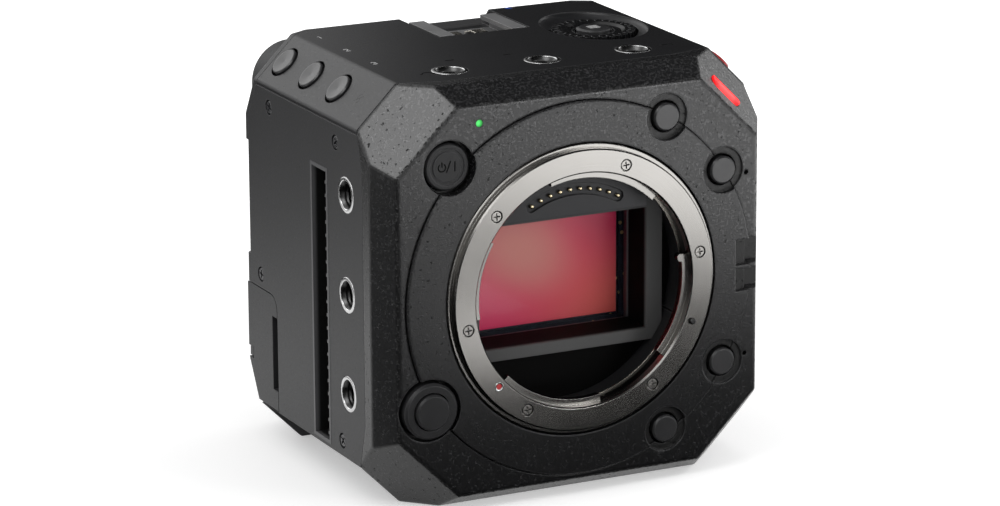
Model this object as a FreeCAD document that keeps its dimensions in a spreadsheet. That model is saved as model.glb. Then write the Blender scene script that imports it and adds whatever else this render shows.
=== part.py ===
import FreeCAD, Part
import math
import os
import Sketcher
from FreeCAD import Placement, Rotation, Vector

# A box-shaped interchangeable-lens camera, in millimetres and degrees.
# +X is to the right when facing the lens, +Y runs from the lens to the rear, +Z is up.
# The origin is where the lens axis meets the flange face of the lens mount.

sizes = {
    # outer case
    "half_width": 46.5,
    "top_rise": 46.4,
    "bottom_drop": 46.0,
    "edge_cut": 9.2,
    "base_slope_run": 17.0,
    "side_wall": 2.2,
    "top_wall": 5.6,
    "base_wall": 2.8,
    "chamfer_wall": 3.7,
    "seam_gap": 0.12,
    # how far the flange face stands in front of the bezel's flat, and depths behind that flat
    "flange_stand": 2.3,
    "bevel_depth": 6.3,
    "front_seam": 9.7,
    "front_corner_seam": 12.4,
    "rear_corner_seam": 64.6,
    "rear_seam": 70.1,
    "frame_depth": 72.0,
    "body_depth": 78.0,
    "bevel_inset": 3.6,
    "front_corner_cut": 14.0,
    "seam_corner_cut": 18.6,
    "bezel_rounding": 1.3,
    "frame_rounding": 0.9,
    "cover_rounding": 1.2,
    "side_seam_drop": 0.9,
    "rear_bevel": 3.4,
    "bezel_front_wall": 5.0,
    "hollow_corner_step": 1.5,
    "rear_layer": 2.0,
    # round panel round the lens
    "panel_width": 9.36,
    "panel_seam": 0.2,
    "panel_proud": 0.85,
    "panel_rebate": 3.0,
    # lens mount
    "throat_radius": 25.8,
    "ring_width": 6.24,
    "ring_lip": 1.04,
    "ring_step": 1.5,
    "ring_thick": 3.1,
    "spigot_wall": 1.1,
    "ring_spigot_depth": 4.7,
    "ring_edge": 0.3,
    "ring_clearance": 0.26,
    "tab_reach": 1.4,
    "tab_front": 1.8,
    "tab_thick": 1.6,
    "stop_angle": 9.0,
    "stop_radius": 0.9,
    "mount_screw_step": 2.4,
    "mount_screw_radius": 1.25,
    "mount_screw_depth": 1.3,
    "screw_clearance": 0.1,
    "seat_gap": 0.04,
    "sunk": 0.1,
    "index_step": 1.85,
    "index_angle": -138.2,
    "index_radius": 0.8,
    "lock_pin_step": 1.9,
    "lock_pin_angle": -21.3,
    "lock_pin_radius": 0.7,
    "lock_pin_stand": 0.8,
    "lock_pin_rear": 10.0,
    "pin_running_gap": 0.06,
    "barrel_flange_width": 3.96,
    "barrel_flange_thick": 2.0,
    "barrel_wall": 3.05,
    "barrel_fit": 0.05,
    "barrel_rear": 16.0,
    "spring_thick": 0.25,
    # contacts at the top of the throat
    "contact_step": 4.5,
    "contact_span": 58.0,
    "contact_radius": 0.55,
    "contact_front": 4.55,
    "contact_block_front": 4.9,
    "contact_recess": 0.6,
    "contact_recess_margin": 0.75,
    "contact_block_width": 17.5,
    "contact_block_low": 15.5,
    "block_clearance": 0.6,
    # light baffle, sensor and its carrier
    "baffle_front": 10.3,
    "baffle_disc_front": 12.3,
    "baffle_disc_rear": 14.3,
    "baffle_rear": 16.4,
    "baffle_half_width": 24.0,
    "baffle_half_height": 16.2,
    "window_half_width": 20.3,
    "window_half_height": 13.7,
    "window_taper": 1.4,
    "flange_focal_distance": 20.0,
    "sensor_width": 35.6,
    "sensor_height": 23.8,
    "sensor_thick": 0.6,
    "package_margin": 1.9,
    "package_front": 19.7,
    "package_rear": 22.4,
    "glass_front": 18.1,
    "glass_thick": 1.2,
    "carrier_front": 16.6,
    "carrier_half_width": 27.0,
    "carrier_half_height": 20.0,
    "board_thick": 1.4,
    # front controls: places on the bezel and sizes
    "power_x": -30.9,
    "power_z": 30.1,
    "power_radius": 5.1,
    "power_pocket": 5.9,
    "power_recess": 0.8,
    "power_groove_radius": 3.3,
    "power_groove_width": 0.7,
    "power_groove_depth": 0.25,
    "release_x": -36.0,
    "release_z": -22.1,
    "release_radius": 3.9,
    "release_collar": 6.15,
    "release_pocket": 7.0,
    "collar_edge": 0.5,
    "collar_proud": 0.6,
    "release_proud": 1.0,
    "release_travel": 1.8,
    "pocket_depth": 2.5,
    "button_radius": 3.05,
    "button_ring_radius": 5.1,
    "button_ring_depth": 0.5,
    "front_button_gap": 0.5,
    "front_button_proud": 0.6,
    "button_gap": 0.32,
    "button_travel": 0.4,
    "cap_edge": 0.35,
    "stem_radius": 1.6,
    "stem_length": 1.6,
    "upper_inner_button_x": 20.5,
    "upper_inner_button_z": 35.4,
    "upper_outer_button_x": 34.3,
    "upper_outer_button_z": 22.1,
    "lower_outer_button_x": 34.5,
    "lower_outer_button_z": -20.9,
    "lower_inner_button_x": 20.5,
    "lower_inner_button_z": -34.2,
    "status_lamp_x": -23.8,
    "status_lamp_z": 38.9,
    "status_lamp_radius": 0.8,
    "notch_x": 37.4,
    "notch_slot_x": 40.4,
    "notch_front": 0.7,
    "notch_rear": 5.4,
    "notch_rib": 0.4,
    "notch_high": 6.2,
    "notch_low": -5.4,
    "detent_x": 40.2,
    "detent_high": 20.9,
    "detent_low": -19.9,
    "detent_radius": 0.55,
    "detent_depth": 1.4,
    "tally_half_length": 2.9,
    "tally_radius": 1.7,
    "tally_depth": 1.6,
    "tally_proud": 0.45,
    "tally_dome": 3.5,
    "tally_station": 4.0,
    "tally_shift": 0.7,
    # threaded inserts on three sides, and the two in the base
    "insert_depth": 20.3,
    "insert_pitch": 22.0,
    "insert_radius": 4.0,
    "insert_hole": 2.6,
    "insert_length": 8.0,
    "insert_lip": 0.9,
    "insert_floor": 0.8,
    "insert_edge": 0.2,
    "insert_recess": 0.3,
    "large_insert_radius": 6.2,
    "large_insert_hole": 4.0,
    "base_insert_depth": 34.0,
    "base_insert_pitch": 16.0,
    # vent slots in the sides
    "vent_front": 29.8,
    "vent_rear": 38.7,
    "vent_low": -36.0,
    "vent_high": 25.5,
    "vent_trim_wall": 0.75,
    "vent_trim_depth": 3.2,
    "vent_pitch": 2.95,
    "vent_rib_thick": 0.7,
    "vent_rib_length": 1.3,
    "vent_rib_count": 20,
    "vent_rib_sunk": 0.3,
    "vent_rib_start": 1.8,
    "trim_proud": 0.05,
    # cooling: finned sink with a fan set in it
    "sink_front": 24.5,
    "sink_plate": 3.0,
    "sink_rear": 37.6,
    "sink_side_gap": 4.5,
    "sink_low_gap": 1.0,
    "fin_start": 0.8,
    "fin_thick": 0.9,
    "duct_thick": 1.0,
    "spacer_radius": 2.0,
    "spacer_edge": 4.5,
    "fan_radius": 19.0,
    "fan_gap": 1.2,
    "fan_hub_radius": 8.0,
    "fan_blade_thick": 0.9,
    "fan_end_gap": 0.6,
    "fan_blade_inset": 0.3,
    "fan_blade_root": 1.2,
    "fan_blade_count": 9,
    "fan_blade_lean": 12.0,
    "fan_shaft_radius": 1.5,
    "fan_shaft_drop": 1.4,
    "fan_running_gap": 0.06,
    # chassis and main board
    "chassis_plate": 2.4,
    "chassis_gap": 0.4,
    "post_width": 7.0,
    "upper_post_height": 2.8,
    "lower_post_height": 3.6,
    "post_side": 17.5,
    "post_end_gap": 0.3,
    "upper_post_drop": 9.5,
    "lower_post_drop": 8.0,
    "chassis_room": 2.0,
    "main_board_front": 41.4,
    "main_board_thick": 1.6,
    "board_side_gap": 8.5,
    "board_base_gap": 11.5,
    "board_roof_gap": 12.9,
    "processor_size": 22.0,
    "processor_thick": 2.4,
    "processor_z": 2.0,
    "memory_x": 19.5,
    "memory_width": 8.0,
    "memory_height": 12.0,
    "memory_thick": 1.2,
    # accessory shoe
    "shoe_x": 1.0,
    "shoe_width": 21.2,
    "shoe_front": 50.8,
    "shoe_length": 16.0,
    "shoe_slot_width": 18.6,
    "shoe_lip_gap": 14.0,
    "shoe_lip_thick": 0.95,
    "shoe_slot_height": 2.1,
    "shoe_floor": 0.7,
    "shoe_recess_side": 0.5,
    "spring_inset": 1.5,
    "spring_gap": 0.05,
    "spring_sheet": 0.3,
    "spring_plate_length": 2.2,
    "spring_start": 2.5,
    "spring_crest_start": 6.0,
    "spring_crest_end": 8.5,
    "spring_crest": 0.95,
    "spring_length": 11.5,
    "spring_half_width": 4.6,
    "spring_leaf_width": 3.0,
    # control dial on top
    "dial_x": 25.2,
    "dial_y": 45.0,
    "dial_radius": 9.4,
    "dial_teeth": 30,
    "dial_tooth": 0.7,
    "dial_groove_width": 1.3,
    "dial_drop": 0.6,
    "dial_height": 3.4,
    "dial_well": 10.1,
    "dial_well_depth": 4.6,
    "dial_scoop_x": 11.2,
    "dial_scoop_y": 15.0,
    "dial_scoop_depth": 2.5,
    "dial_button_radius": 3.8,
    "dial_button_gap": 0.35,
    "dial_button_proud": 0.3,
    "dial_button_thick": 0.75,
    "dial_button_edge": 0.6,
    "dial_stem_depth": 2.8,
    "dial_bowl_radius": 7.1,
    "dial_bowl_foot": 6.3,
    "dial_bowl_depth": 0.5,
    "dial_shaft_radius": 4.7,
    "dial_cup_depth": 1.8,
    "dial_thrust_gap": 0.32,
    "dial_thrust_radius": 6.5,
    "dial_stem_radius": 0.9,
    # buttons on the chamfers
    "side_button_radius": 3.3,
    "side_button_gap": 0.55,
    "side_button_proud": 0.55,
    "side_button_dish": 0.3,
    "side_button_edge": 0.25,
    "side_button_thick": 1.5,
    "side_button_well": 2.2,
    "side_button_first": 33.5,
    "side_button_pitch": 14.2,
    "record_button_depth": 19.3,
    "record_button_radius": 3.2,
    "record_button_gap": 0.35,
    "record_button_proud": 0.9,
    "record_button_edge": 0.4,
    "network_lamp_x": 16.7,
    "network_lamp_y": 70.1,
    "network_lamp_radius": 0.9,
    "network_lamp_depth": 2.0,
    # card door and card slots
    "door_front": 58.3,
    "door_high": -10.3,
    "door_gap": 0.32,
    "door_corner": 3.2,
    "door_room": 3.1,
    "door_lug_z": -26.4,
    "door_lug_height": 2.0,
    "door_pin_radius": 0.5,
    "door_pin_gap": 0.06,
    "door_hinge_inset": 1.1,
    "door_lug_wall": 0.8,
    "door_lug_room": 1.6,
    "door_pin_rise": 1.8,
    "door_pin_end": 0.1,
    "door_groove_width": 2.6,
    "door_groove_depth": 1.5,
    "door_groove_low": -32.0,
    "door_groove_high": -15.0,
    "frame_notch_depth": 3.0,
    "frame_notch_low": -3.5,
    "frame_notch_high": 22.6,
    "card_gap": 0.8,
    "card_inset": 2.0,
    "card_unit_depth": 10.2,
    "card_unit_wall": 0.5,
    "card_slot_start": 1.8,
    "card_width": 24.0,
    "card_thick": 2.4,
    "card_pitch": 4.6,
    "card_unit_length": 32.0,
    "card_slot_depth": 24.0,
    # rear panel
    "rear_side_gap": 4.5,
    "rear_top_gap": 4.0,
    "rear_low_gap": 4.6,
    "rear_corner": 9.0,
    "rear_screw_inset": 2.8,
    "rear_screw_z": 30.0,
    "coax_inset": 12.0,
    "coax_drop": 15.4,
    "coax_pitch": 18.5,
    "coax_radius": 4.8,
    "coax_length": 9.0,
    "coax_depth": 8.0,
    "coax_lip": 0.3,
    "coax_collar": 2.2,
    "coax_hole": 3.6,
    "coax_core_radius": 1.7,
    "coax_core_length": 4.0,
    "coax_pin_radius": 0.7,
    "coax_pin_length": 6.5,
    "network_inset": 13.0,
    "network_rise": 15.4,
    "network_width": 15.6,
    "network_height": 13.2,
    "network_opening_width": 11.8,
    "network_opening_height": 7.6,
    "network_depth": 13.0,
    "network_floor": 1.5,
    "network_key_width": 6.0,
    "network_key_height": 1.6,
    "socket_row_drop": 10.4,
    "socket_depth": 10.0,
    "socket_proud": 0.1,
    "socket_room": 8.5,
    "tongue_recess": 0.8,
    "display_x": 12.0,
    "display_width": 15.0,
    "display_height": 6.0,
    "display_wall": 0.5,
    "display_tongue_side": 1.8,
    "display_tongue_thick": 1.4,
    "data_x": -4.0,
    "data_width": 9.4,
    "data_height": 3.6,
    "data_wall": 0.4,
    "data_tongue_side": 1.2,
    "data_tongue_thick": 0.7,
    "inlet_x": -17.0,
    "inlet_radius": 4.6,
    "inlet_wall": 1.3,
    "inlet_pin_radius": 0.9,
    "audio_inset": 9.0,
    "audio_radius": 3.1,
    "audio_bore": 1.75,
    "audio_pitch": 7.2,
    "battery_left_gap": 8.0,
    "battery_right_gap": 6.0,
    "battery_z": -8.0,
    "battery_height": 58.0,
    "battery_recess": 3.2,
    "battery_rail": 2.2,
    "battery_fit": 0.1,
    "battery_sheet": 1.0,
    "battery_step": 2.1,
    "terminal_half_width": 9.0,
    "terminal_high": 3.0,
    "terminal_low": 9.0,
    "terminal_block_thick": 1.9,
    "terminal_thick": 0.4,
    "terminal_width": 1.4,
    "terminal_pitch": 4.0,
    "terminal_end": 1.0,
    "latch_network_gap": 13.0,
    "latch_z": -34.0,
    "latch_width": 4.6,
    "latch_length": 7.6,
    "latch_travel": 4.0,
    "latch_gap": 0.32,
    "latch_depth": 1.9,
    "latch_proud": 0.5,
    "latch_grip_height": 0.4,
    "latch_grip_inset": 0.5,
    "latch_grip_start": 1.2,
    "latch_grip_pitch": 1.6,
    "latch_grip_width": 0.6,
    # fasteners of the covers
    "case_screw_radius": 1.65,
    "case_screw_depth": 1.2,
    "upper_rear_screw_y": 60.7,
    "upper_rear_screw_drop": 4.8,
    "upper_front_screw_y": 25.5,
    "upper_front_screw_drop": 4.9,
    "middle_rear_screw_y": 66.7,
    "middle_rear_screw_z": -6.9,
    "lower_front_screw_y": 23.8,
    "lower_front_screw_rise": 3.4,
    "base_screw_x": 24.0,
    "base_front_screw_y": 19.0,
    "base_rear_screw_y": 65.0,
}

doc = FreeCAD.newDocument("box_camera")
sheet = doc.addObject("Spreadsheet::Sheet", "Sizes")
for row, (alias, number) in enumerate(sizes.items(), start=1):
    sheet.set(f"A{row}", alias)
    sheet.set(f"B{row}", str(number))
    sheet.setAlias(f"B{row}", alias)
doc.recompute()


class Size:
    """A length or angle with its value and its formula in sheet cells."""

    def __init__(self, value, formula=None):
        self.value = float(value)
        self.formula = formula or f"({self.value:.6f})"

    def __add__(self, other):
        other = as_size(other)
        return Size(self.value + other.value, f"({self.formula} + {other.formula})")

    def __sub__(self, other):
        other = as_size(other)
        return Size(self.value - other.value, f"({self.formula} - {other.formula})")

    def __mul__(self, other):
        other = as_size(other)
        return Size(self.value * other.value, f"({self.formula} * {other.formula})")

    def __truediv__(self, other):
        other = as_size(other)
        return Size(self.value / other.value, f"({self.formula} / {other.formula})")

    def __neg__(self):
        return Size(-self.value, f"(0 - {self.formula})")

    def __radd__(self, other):
        return as_size(other) + self

    def __rsub__(self, other):
        return as_size(other) - self

    def __rmul__(self, other):
        return as_size(other) * self


def as_size(thing):
    return thing if isinstance(thing, Size) else Size(thing)


def sine(angle):
    angle = as_size(angle)
    return Size(math.sin(math.radians(angle.value)), f"sin({angle.formula})")


def cosine(angle):
    angle = as_size(angle)
    return Size(math.cos(math.radians(angle.value)), f"cos({angle.formula})")


class Cells:
    """Gives each named cell of the sheet as a Size."""

    def __getattr__(self, alias):
        return Size(sizes[alias], "Sizes." + alias)


d = Cells()
kept = {}


def bind(thing, prop, size):
    size = as_size(size)
    thing.setExpression(prop, size.formula)


def place(thing, x, y, z):
    spot = Vector(as_size(x).value, as_size(y).value, as_size(z).value)
    thing.Placement = Placement(spot, thing.Placement.Rotation)
    bind(thing, "Placement.Base.x", x)
    bind(thing, "Placement.Base.y", y)
    bind(thing, "Placement.Base.z", z)


def keep(thing, node):
    """Marks a finished sub-part: its label is its node's name and its file's name."""
    thing.Label = node
    kept[node] = thing
    return thing


# Directions in which a piece's own +Z can face.
facing = {
    "up": Rotation(),
    "down": Rotation(Vector(1, 0, 0), 180),
    "front": Rotation(Vector(1, 0, 0), 90),
    "rear": Rotation(Vector(1, 0, 0), -90),
    "left": Rotation(Vector(0, 1, 0), -90),
    "right": Rotation(Vector(0, 1, 0), 90),
    "left_chamfer": Rotation(Vector(0, 1, 0), -45),
    "right_chamfer": Rotation(Vector(0, 1, 0), 45),
}


def box(name, x, y, z):
    """A box from three (low, high) pairs."""
    block = doc.addObject("Part::Box", name)
    bind(block, "Length", as_size(x[1]) - x[0])
    bind(block, "Width", as_size(y[1]) - y[0])
    bind(block, "Height", as_size(z[1]) - z[0])
    place(block, x[0], y[0], z[0])
    return block


def rod(name, radius, length, x, y, z, face="rear", span=None):
    """A cylinder from a base point along its facing; span limits it to a sector."""
    bar = doc.addObject("Part::Cylinder", name)
    bind(bar, "Radius", radius)
    bind(bar, "Height", length)
    if span is not None:
        bind(bar, "Angle", span)
    bar.Placement = Placement(Vector(), facing[face])
    place(bar, x, y, z)
    return bar


def cut(name, base, tools):
    whole = tools[0]
    if len(tools) > 1:
        whole = doc.addObject("Part::MultiFuse", name + "_tools")
        whole.Shapes = tools
    result = doc.addObject("Part::Cut", name)
    result.Base = base
    result.Tool = whole
    return result


def fuse(name, pieces):
    result = doc.addObject("Part::MultiFuse", name)
    result.Shapes = pieces
    return result


def common(name, first, second):
    result = doc.addObject("Part::Common", name)
    result.Base = first
    result.Tool = second
    return result


def group(name, pieces):
    """Several like pieces kept as separate solids of one sub-part."""
    result = doc.addObject("Part::Compound", name)
    result.Links = pieces
    return result


def sketch_on(body, name, plane, offset=0):
    drawing = body.newObject("Sketcher::SketchObject", name)
    origin_plane = next(f for f in body.Origin.OriginFeatures if f.Role == plane)
    drawing.AttachmentSupport = [(origin_plane, "")]
    drawing.MapMode = "FlatFace"
    bind(drawing, "AttachmentOffset.Base.z", offset)
    return drawing


def pin_point(drawing, edge, end, x, y):
    x = as_size(x)
    y = as_size(y)
    across = drawing.addConstraint(Sketcher.Constraint("DistanceX", -1, 1, edge, end, x.value))
    bind(drawing, f"Constraints[{across}]", x)
    up = drawing.addConstraint(Sketcher.Constraint("DistanceY", -1, 1, edge, end, y.value))
    bind(drawing, f"Constraints[{up}]", y)


def draw_outline(drawing, points):
    first = drawing.GeometryCount
    spots = [Vector(as_size(x).value, as_size(y).value, 0) for x, y in points]
    for number, spot in enumerate(spots):
        drawing.addGeometry(Part.LineSegment(spot, spots[(number + 1) % len(spots)]))
    for number in range(len(points)):
        after = first + (number + 1) % len(points)
        drawing.addConstraint(Sketcher.Constraint("Coincident", first + number, 2, after, 1))
    for number, (x, y) in enumerate(points):
        pin_point(drawing, first + number, 1, x, y)


def draw_circle(drawing, x, y, radius):
    spot = Vector(as_size(x).value, as_size(y).value, 0)
    edge = drawing.addGeometry(Part.Circle(spot, Vector(0, 0, 1), as_size(radius).value))
    pin_point(drawing, edge, 3, x, y)
    wide = drawing.addConstraint(Sketcher.Constraint("Radius", edge, as_size(radius).value))
    bind(drawing, f"Constraints[{wide}]", radius)


def padded(name, outline, plane, start, end):
    """A body made by padding one outline between two stations along the plane's normal."""
    body = doc.addObject("PartDesign::Body", name)
    towards_front = plane == "XZ_Plane"
    drawing = sketch_on(body, name + "_outline", plane, -as_size(start) if towards_front else start)
    draw_outline(drawing, outline)
    pad = body.newObject("PartDesign::Pad", name + "_pad")
    pad.Profile = drawing
    bind(pad, "Length", as_size(end) - start)
    pad.Reversed = towards_front
    body.Tip = pad
    return body


def turned(name, profile, x, y, z, face):
    """A body of revolution; its profile is (radius, height) measured along its facing."""
    body = doc.addObject("PartDesign::Body", name)
    drawing = sketch_on(body, name + "_profile", "XZ_Plane")
    draw_outline(drawing, profile)
    turn = body.newObject("PartDesign::Revolution", name + "_turn")
    turn.Profile = drawing
    turn.ReferenceAxis = (drawing, ["V_Axis"])
    turn.Angle = 360
    body.Tip = turn
    body.Placement = Placement(Vector(), facing[face])
    place(body, x, y, z)
    return body


def rounded(name, base, radius, wanted):
    """The base with every edge rounded whose two end points the test accepts."""
    doc.recompute()
    result = doc.addObject("Part::Fillet", name)
    result.Base = base
    result.Edges = [(number, radius.value, radius.value)
                    for number, edge in enumerate(base.Shape.Edges, start=1)
                    if wanted(edge.Vertexes[0].Point, edge.Vertexes[-1].Point)]
    return result


def lofted(name, sections):
    """A solid with flat sides through outlines at stations along Y."""
    drawings = []
    for number, (station, outline) in enumerate(sections, start=1):
        drawing = doc.addObject("Sketcher::SketchObject", f"{name}_section_{number}")
        drawing.Placement = Placement(Vector(), facing["front"])
        place(drawing, 0, station, 0)
        draw_outline(drawing, outline)
        drawings.append(drawing)
    skin = doc.addObject("Part::Loft", name)
    skin.Sections = drawings
    skin.Solid = True
    skin.Ruled = True
    return skin


# Outlines and envelopes of the case


def case_outline(inset, corner, slope_run=None, slope_rise=None):
    """The case seen from the front, drawn in by an inset, with its four corners cut."""
    half = d.half_width - inset
    top = d.top_rise - inset
    low = d.bottom_drop - inset
    run = slope_run or corner
    rise = slope_rise or corner
    return [
        (-half, rise - low),
        (-half, top - corner),
        (corner - half, top),
        (half - corner, top),
        (half, top - corner),
        (half, rise - low),
        (half - run, -low),
        (run - half, -low),
    ]


def wrap_region(name, grow):
    """The space of the covers between the two end frames, larger by the seam on each end."""
    return lofted(name, [
        (bezel_face + d.front_seam - grow, case_outline(0, d.seam_corner_cut)),
        (bezel_face + d.front_corner_seam - grow,
         case_outline(0, d.edge_cut, d.base_slope_run, d.edge_cut)),
        (bezel_face + d.rear_corner_seam + grow,
         case_outline(0, d.edge_cut, d.base_slope_run, d.edge_cut)),
        (bezel_face + d.rear_seam + grow, case_outline(0, d.seam_corner_cut)),
    ])


ring_radius = d.throat_radius + d.ring_width
ring_face_radius = ring_radius - d.ring_lip
spigot_radius = d.throat_radius + d.spigot_wall
tab_radius = d.throat_radius - d.tab_reach
contact_circle = d.throat_radius - d.contact_step
panel_radius = ring_radius + d.panel_width
flange_radius = ring_radius + d.barrel_flange_width
bezel_face = d.flange_stand
bezel_wall_rear = bezel_face + d.bezel_front_wall
ears_rear = bezel_face + d.front_corner_seam
frame_front = bezel_face + d.rear_corner_seam
cover_rear = bezel_face + d.rear_seam
frame_rear = bezel_face + d.frame_depth
panel_rear = bezel_face + d.body_depth
chamfer_level = d.top_rise - d.edge_cut
slope_level = d.edge_cut - d.bottom_drop
wrap = wrap_region("wrap_region", 0)
wrap_clear = wrap_region("wrap_region_with_seams", d.seam_gap)

# Front controls: one pocket shape each, cut alike from the bezel and the round panel

front_buttons = {
    "front_button_upper_inner": (d.upper_inner_button_x, d.upper_inner_button_z),
    "front_button_upper_outer": (d.upper_outer_button_x, d.upper_outer_button_z),
    "front_button_lower_outer": (d.lower_outer_button_x, d.lower_outer_button_z),
    "front_button_lower_inner": (d.lower_inner_button_x, d.lower_inner_button_z),
}
pocket_floor = bezel_face + d.pocket_depth
above_panel = bezel_face - d.panel_proud - 1
pockets = []
for node, (x, z) in front_buttons.items():
    pockets.append(rod(node + "_ring", d.button_ring_radius,
                       bezel_face + d.button_ring_depth - above_panel, x, above_panel, z))
    pockets.append(rod(node + "_hole", d.button_radius + d.front_button_gap,
                       bezel_wall_rear - bezel_face, x, bezel_face, z))
for node, x, z, wide, hole in (
    ("power", d.power_x, d.power_z, d.power_pocket, d.power_radius + d.button_gap),
    ("release", d.release_x, d.release_z, d.release_pocket, d.release_collar + d.seat_gap),
):
    pockets.append(rod(node + "_pocket", wide, pocket_floor - above_panel, x, above_panel, z))
    pockets.append(rod(node + "_hole", hole, bezel_wall_rear - bezel_face, x, bezel_face, z))

# Front bezel: bevelled frame with cut corners, hollow behind, rebated for the round panel

bevel_run = d.front_corner_seam - d.bevel_depth
corner_fall = 2 * d.bevel_inset + d.front_corner_cut - d.edge_cut
middle_cut = d.edge_cut + corner_fall * bevel_run / d.front_corner_seam
bezel_block = lofted("bezel_block", [
    (bezel_face, case_outline(d.bevel_inset, d.front_corner_cut)),
    (bezel_face + d.bevel_depth, case_outline(0, middle_cut)),
    (ears_rear, case_outline(0, d.edge_cut)),
])
rounded_bezel = rounded("rounded_bezel", bezel_block, d.bezel_rounding,
                        lambda one, two: min(one.y, two.y) < ears_rear.value - 0.1)
hollow_cut = d.front_corner_cut + d.hollow_corner_step
bezel_hollow = padded("bezel_hollow", case_outline(d.side_wall, hollow_cut),
                      "XZ_Plane", bezel_wall_rear, ears_rear + 1)
rebate = rod("panel_rebate_disc", panel_radius, bezel_face + d.panel_rebate - above_panel,
             0, above_panel, 0)
mount_hole = rod("bezel_mount_hole", ring_radius + d.ring_clearance,
                 bezel_wall_rear - above_panel, 0, above_panel, 0)
status_hole = rod("status_lamp_hole", d.status_lamp_radius, bezel_wall_rear - bezel_face,
                  d.status_lamp_x, bezel_face, d.status_lamp_z)

# The tally lamp lies in the upper right corner facet, square to it.
facet_slope = corner_fall / d.front_corner_seam
facet_normal = Vector(1, -facet_slope.value, 1).normalize()
facet_along = Vector(1, 0, -1).normalize()
facet_turn = Rotation(facet_along, facet_normal.cross(facet_along), facet_normal, "ZXY")
corner_sum = d.half_width + d.top_rise - d.edge_cut
tally_sum = corner_sum - corner_fall + facet_slope * d.tally_station
tally_x = (tally_sum + d.half_width - d.top_rise) / 2 - d.tally_shift
tally_z = (tally_sum - d.half_width + d.top_rise) / 2 + d.tally_shift


def capsule(name, half_length, radius, height):
    """A round-ended bar lying along its own X, standing along its own Z."""
    ends = [rod(f"{name}_end_{word}", radius, height, way * half_length, 0, 0, "up")
            for word, way in (("low", -1), ("high", 1))]
    middle = box(name + "_middle", (-half_length, half_length), (-radius, radius), (0, height))
    return fuse(name, [middle] + ends)


def set_in_facet(thing, depth):
    thing.Placement = Placement(Vector(), facet_turn)
    place(thing, tally_x - facet_normal.x * depth,
          bezel_face + d.tally_station - facet_normal.y * depth,
          tally_z - facet_normal.z * depth)


tally_pocket = capsule("tally_pocket", d.tally_half_length, d.tally_radius + d.seam_gap,
                       d.tally_depth + 2)
set_in_facet(tally_pocket, d.tally_depth)
tally_height = d.tally_depth + d.tally_proud
tally_reach = d.tally_half_length + d.tally_radius
tally_dome = rod("tally_dome", d.tally_dome, tally_reach * 2, -tally_reach, 0,
                 tally_height - d.tally_dome, "right")
tally_lamp = common("tally_lamp_domed", capsule("tally_lamp_bar", d.tally_half_length,
                                                d.tally_radius, tally_height), tally_dome)
set_in_facet(tally_lamp, d.tally_depth)
keep(tally_lamp, "tally_lamp")

# A stepped notch with a thin rib in the right bevel, and a detent hole beside each outer button.
notch = []
for word, z in (("upper", (d.notch_rib, d.notch_high)), ("lower", (d.notch_low, -d.notch_rib))):
    notch.append(box(f"bevel_notch_{word}", (d.notch_x, d.half_width + 1),
                     (above_panel, bezel_face + d.notch_front), z))
    notch.append(box(f"bevel_slot_{word}", (d.notch_slot_x, d.half_width + 1),
                     (above_panel, d.notch_rear), z))
detents = [rod(f"detent_{word}", d.detent_radius, d.detent_depth + 1, d.detent_x,
               bezel_face - 1, z)
           for word, z in (("upper", d.detent_high), ("lower", d.detent_low))]
keep(cut("front_bezel_cut", rounded_bezel,
         [wrap_clear, bezel_hollow, rebate, mount_hole, status_hole, tally_pocket]
         + pockets + notch + detents), "front_bezel")
keep(rod("status_lamp_rod", d.status_lamp_radius, d.bezel_front_wall - d.sunk,
         d.status_lamp_x, bezel_face + d.sunk, d.status_lamp_z), "status_lamp")

# Round panel that carries the inner halves of the control pockets

panel_disc = turned("panel_disc", [
    (ring_radius + d.ring_clearance, 0),
    (panel_radius - d.panel_seam, 0),
    (panel_radius - d.panel_seam, d.panel_rebate + d.panel_proud - d.ring_edge),
    (panel_radius - d.panel_seam - d.ring_edge, d.panel_rebate + d.panel_proud),
    (ring_radius + d.ring_clearance, d.panel_rebate + d.panel_proud),
], 0, bezel_face + d.panel_rebate, 0, "front")
keep(cut("front_panel_cut", panel_disc, pockets + notch), "front_panel")

# Lens mount ring: stepped steel ring with a spigot, four bayonet tabs and six screw seats

mount_screw_angles = (69.8, 10.5, -54.6, -119.4, -169.4, 138.0)
tab_arcs = ((46, 107), (-41.5, 10), (-136, -80), (148.8, 188.5))


def on_circle(radius, angle):
    return radius * cosine(angle), radius * sine(angle)


ring_body = turned("ring_body", [
    (d.throat_radius + d.ring_edge, 0),
    (ring_face_radius - d.ring_edge, 0),
    (ring_face_radius, -d.ring_edge),
    (ring_face_radius, -d.ring_step),
    (ring_radius - d.ring_edge, -d.ring_step),
    (ring_radius, -d.ring_step - d.ring_edge),
    (ring_radius, -d.ring_thick),
    (spigot_radius, -d.ring_thick),
    (spigot_radius, -d.ring_spigot_depth),
    (d.throat_radius, -d.ring_spigot_depth),
    (d.throat_radius, -d.ring_edge),
], 0, 0, 0, "front")
tabs = []
for number, (start, end) in enumerate(tab_arcs, start=1):
    sector = rod(f"tab_sector_{number}", d.throat_radius + 0.2, d.tab_thick,
                 0, d.tab_front + d.tab_thick, 0, "front", end - start)
    sector.Placement = Placement(sector.Placement.Base,
                                 Rotation(Vector(0, -1, 0), start) * facing["front"])
    inside = rod(f"tab_inside_{number}", tab_radius, d.tab_thick + 2,
                 0, d.tab_front - 1, 0)
    tabs.append(cut(f"bayonet_tab_{number}", sector, [inside]))
stop_x, stop_z = on_circle(tab_radius, d.stop_angle)
tabs.append(rod("bayonet_stop", d.stop_radius, d.tab_thick, stop_x, d.tab_front, stop_z))
screw_seats = []
screws = []
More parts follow.
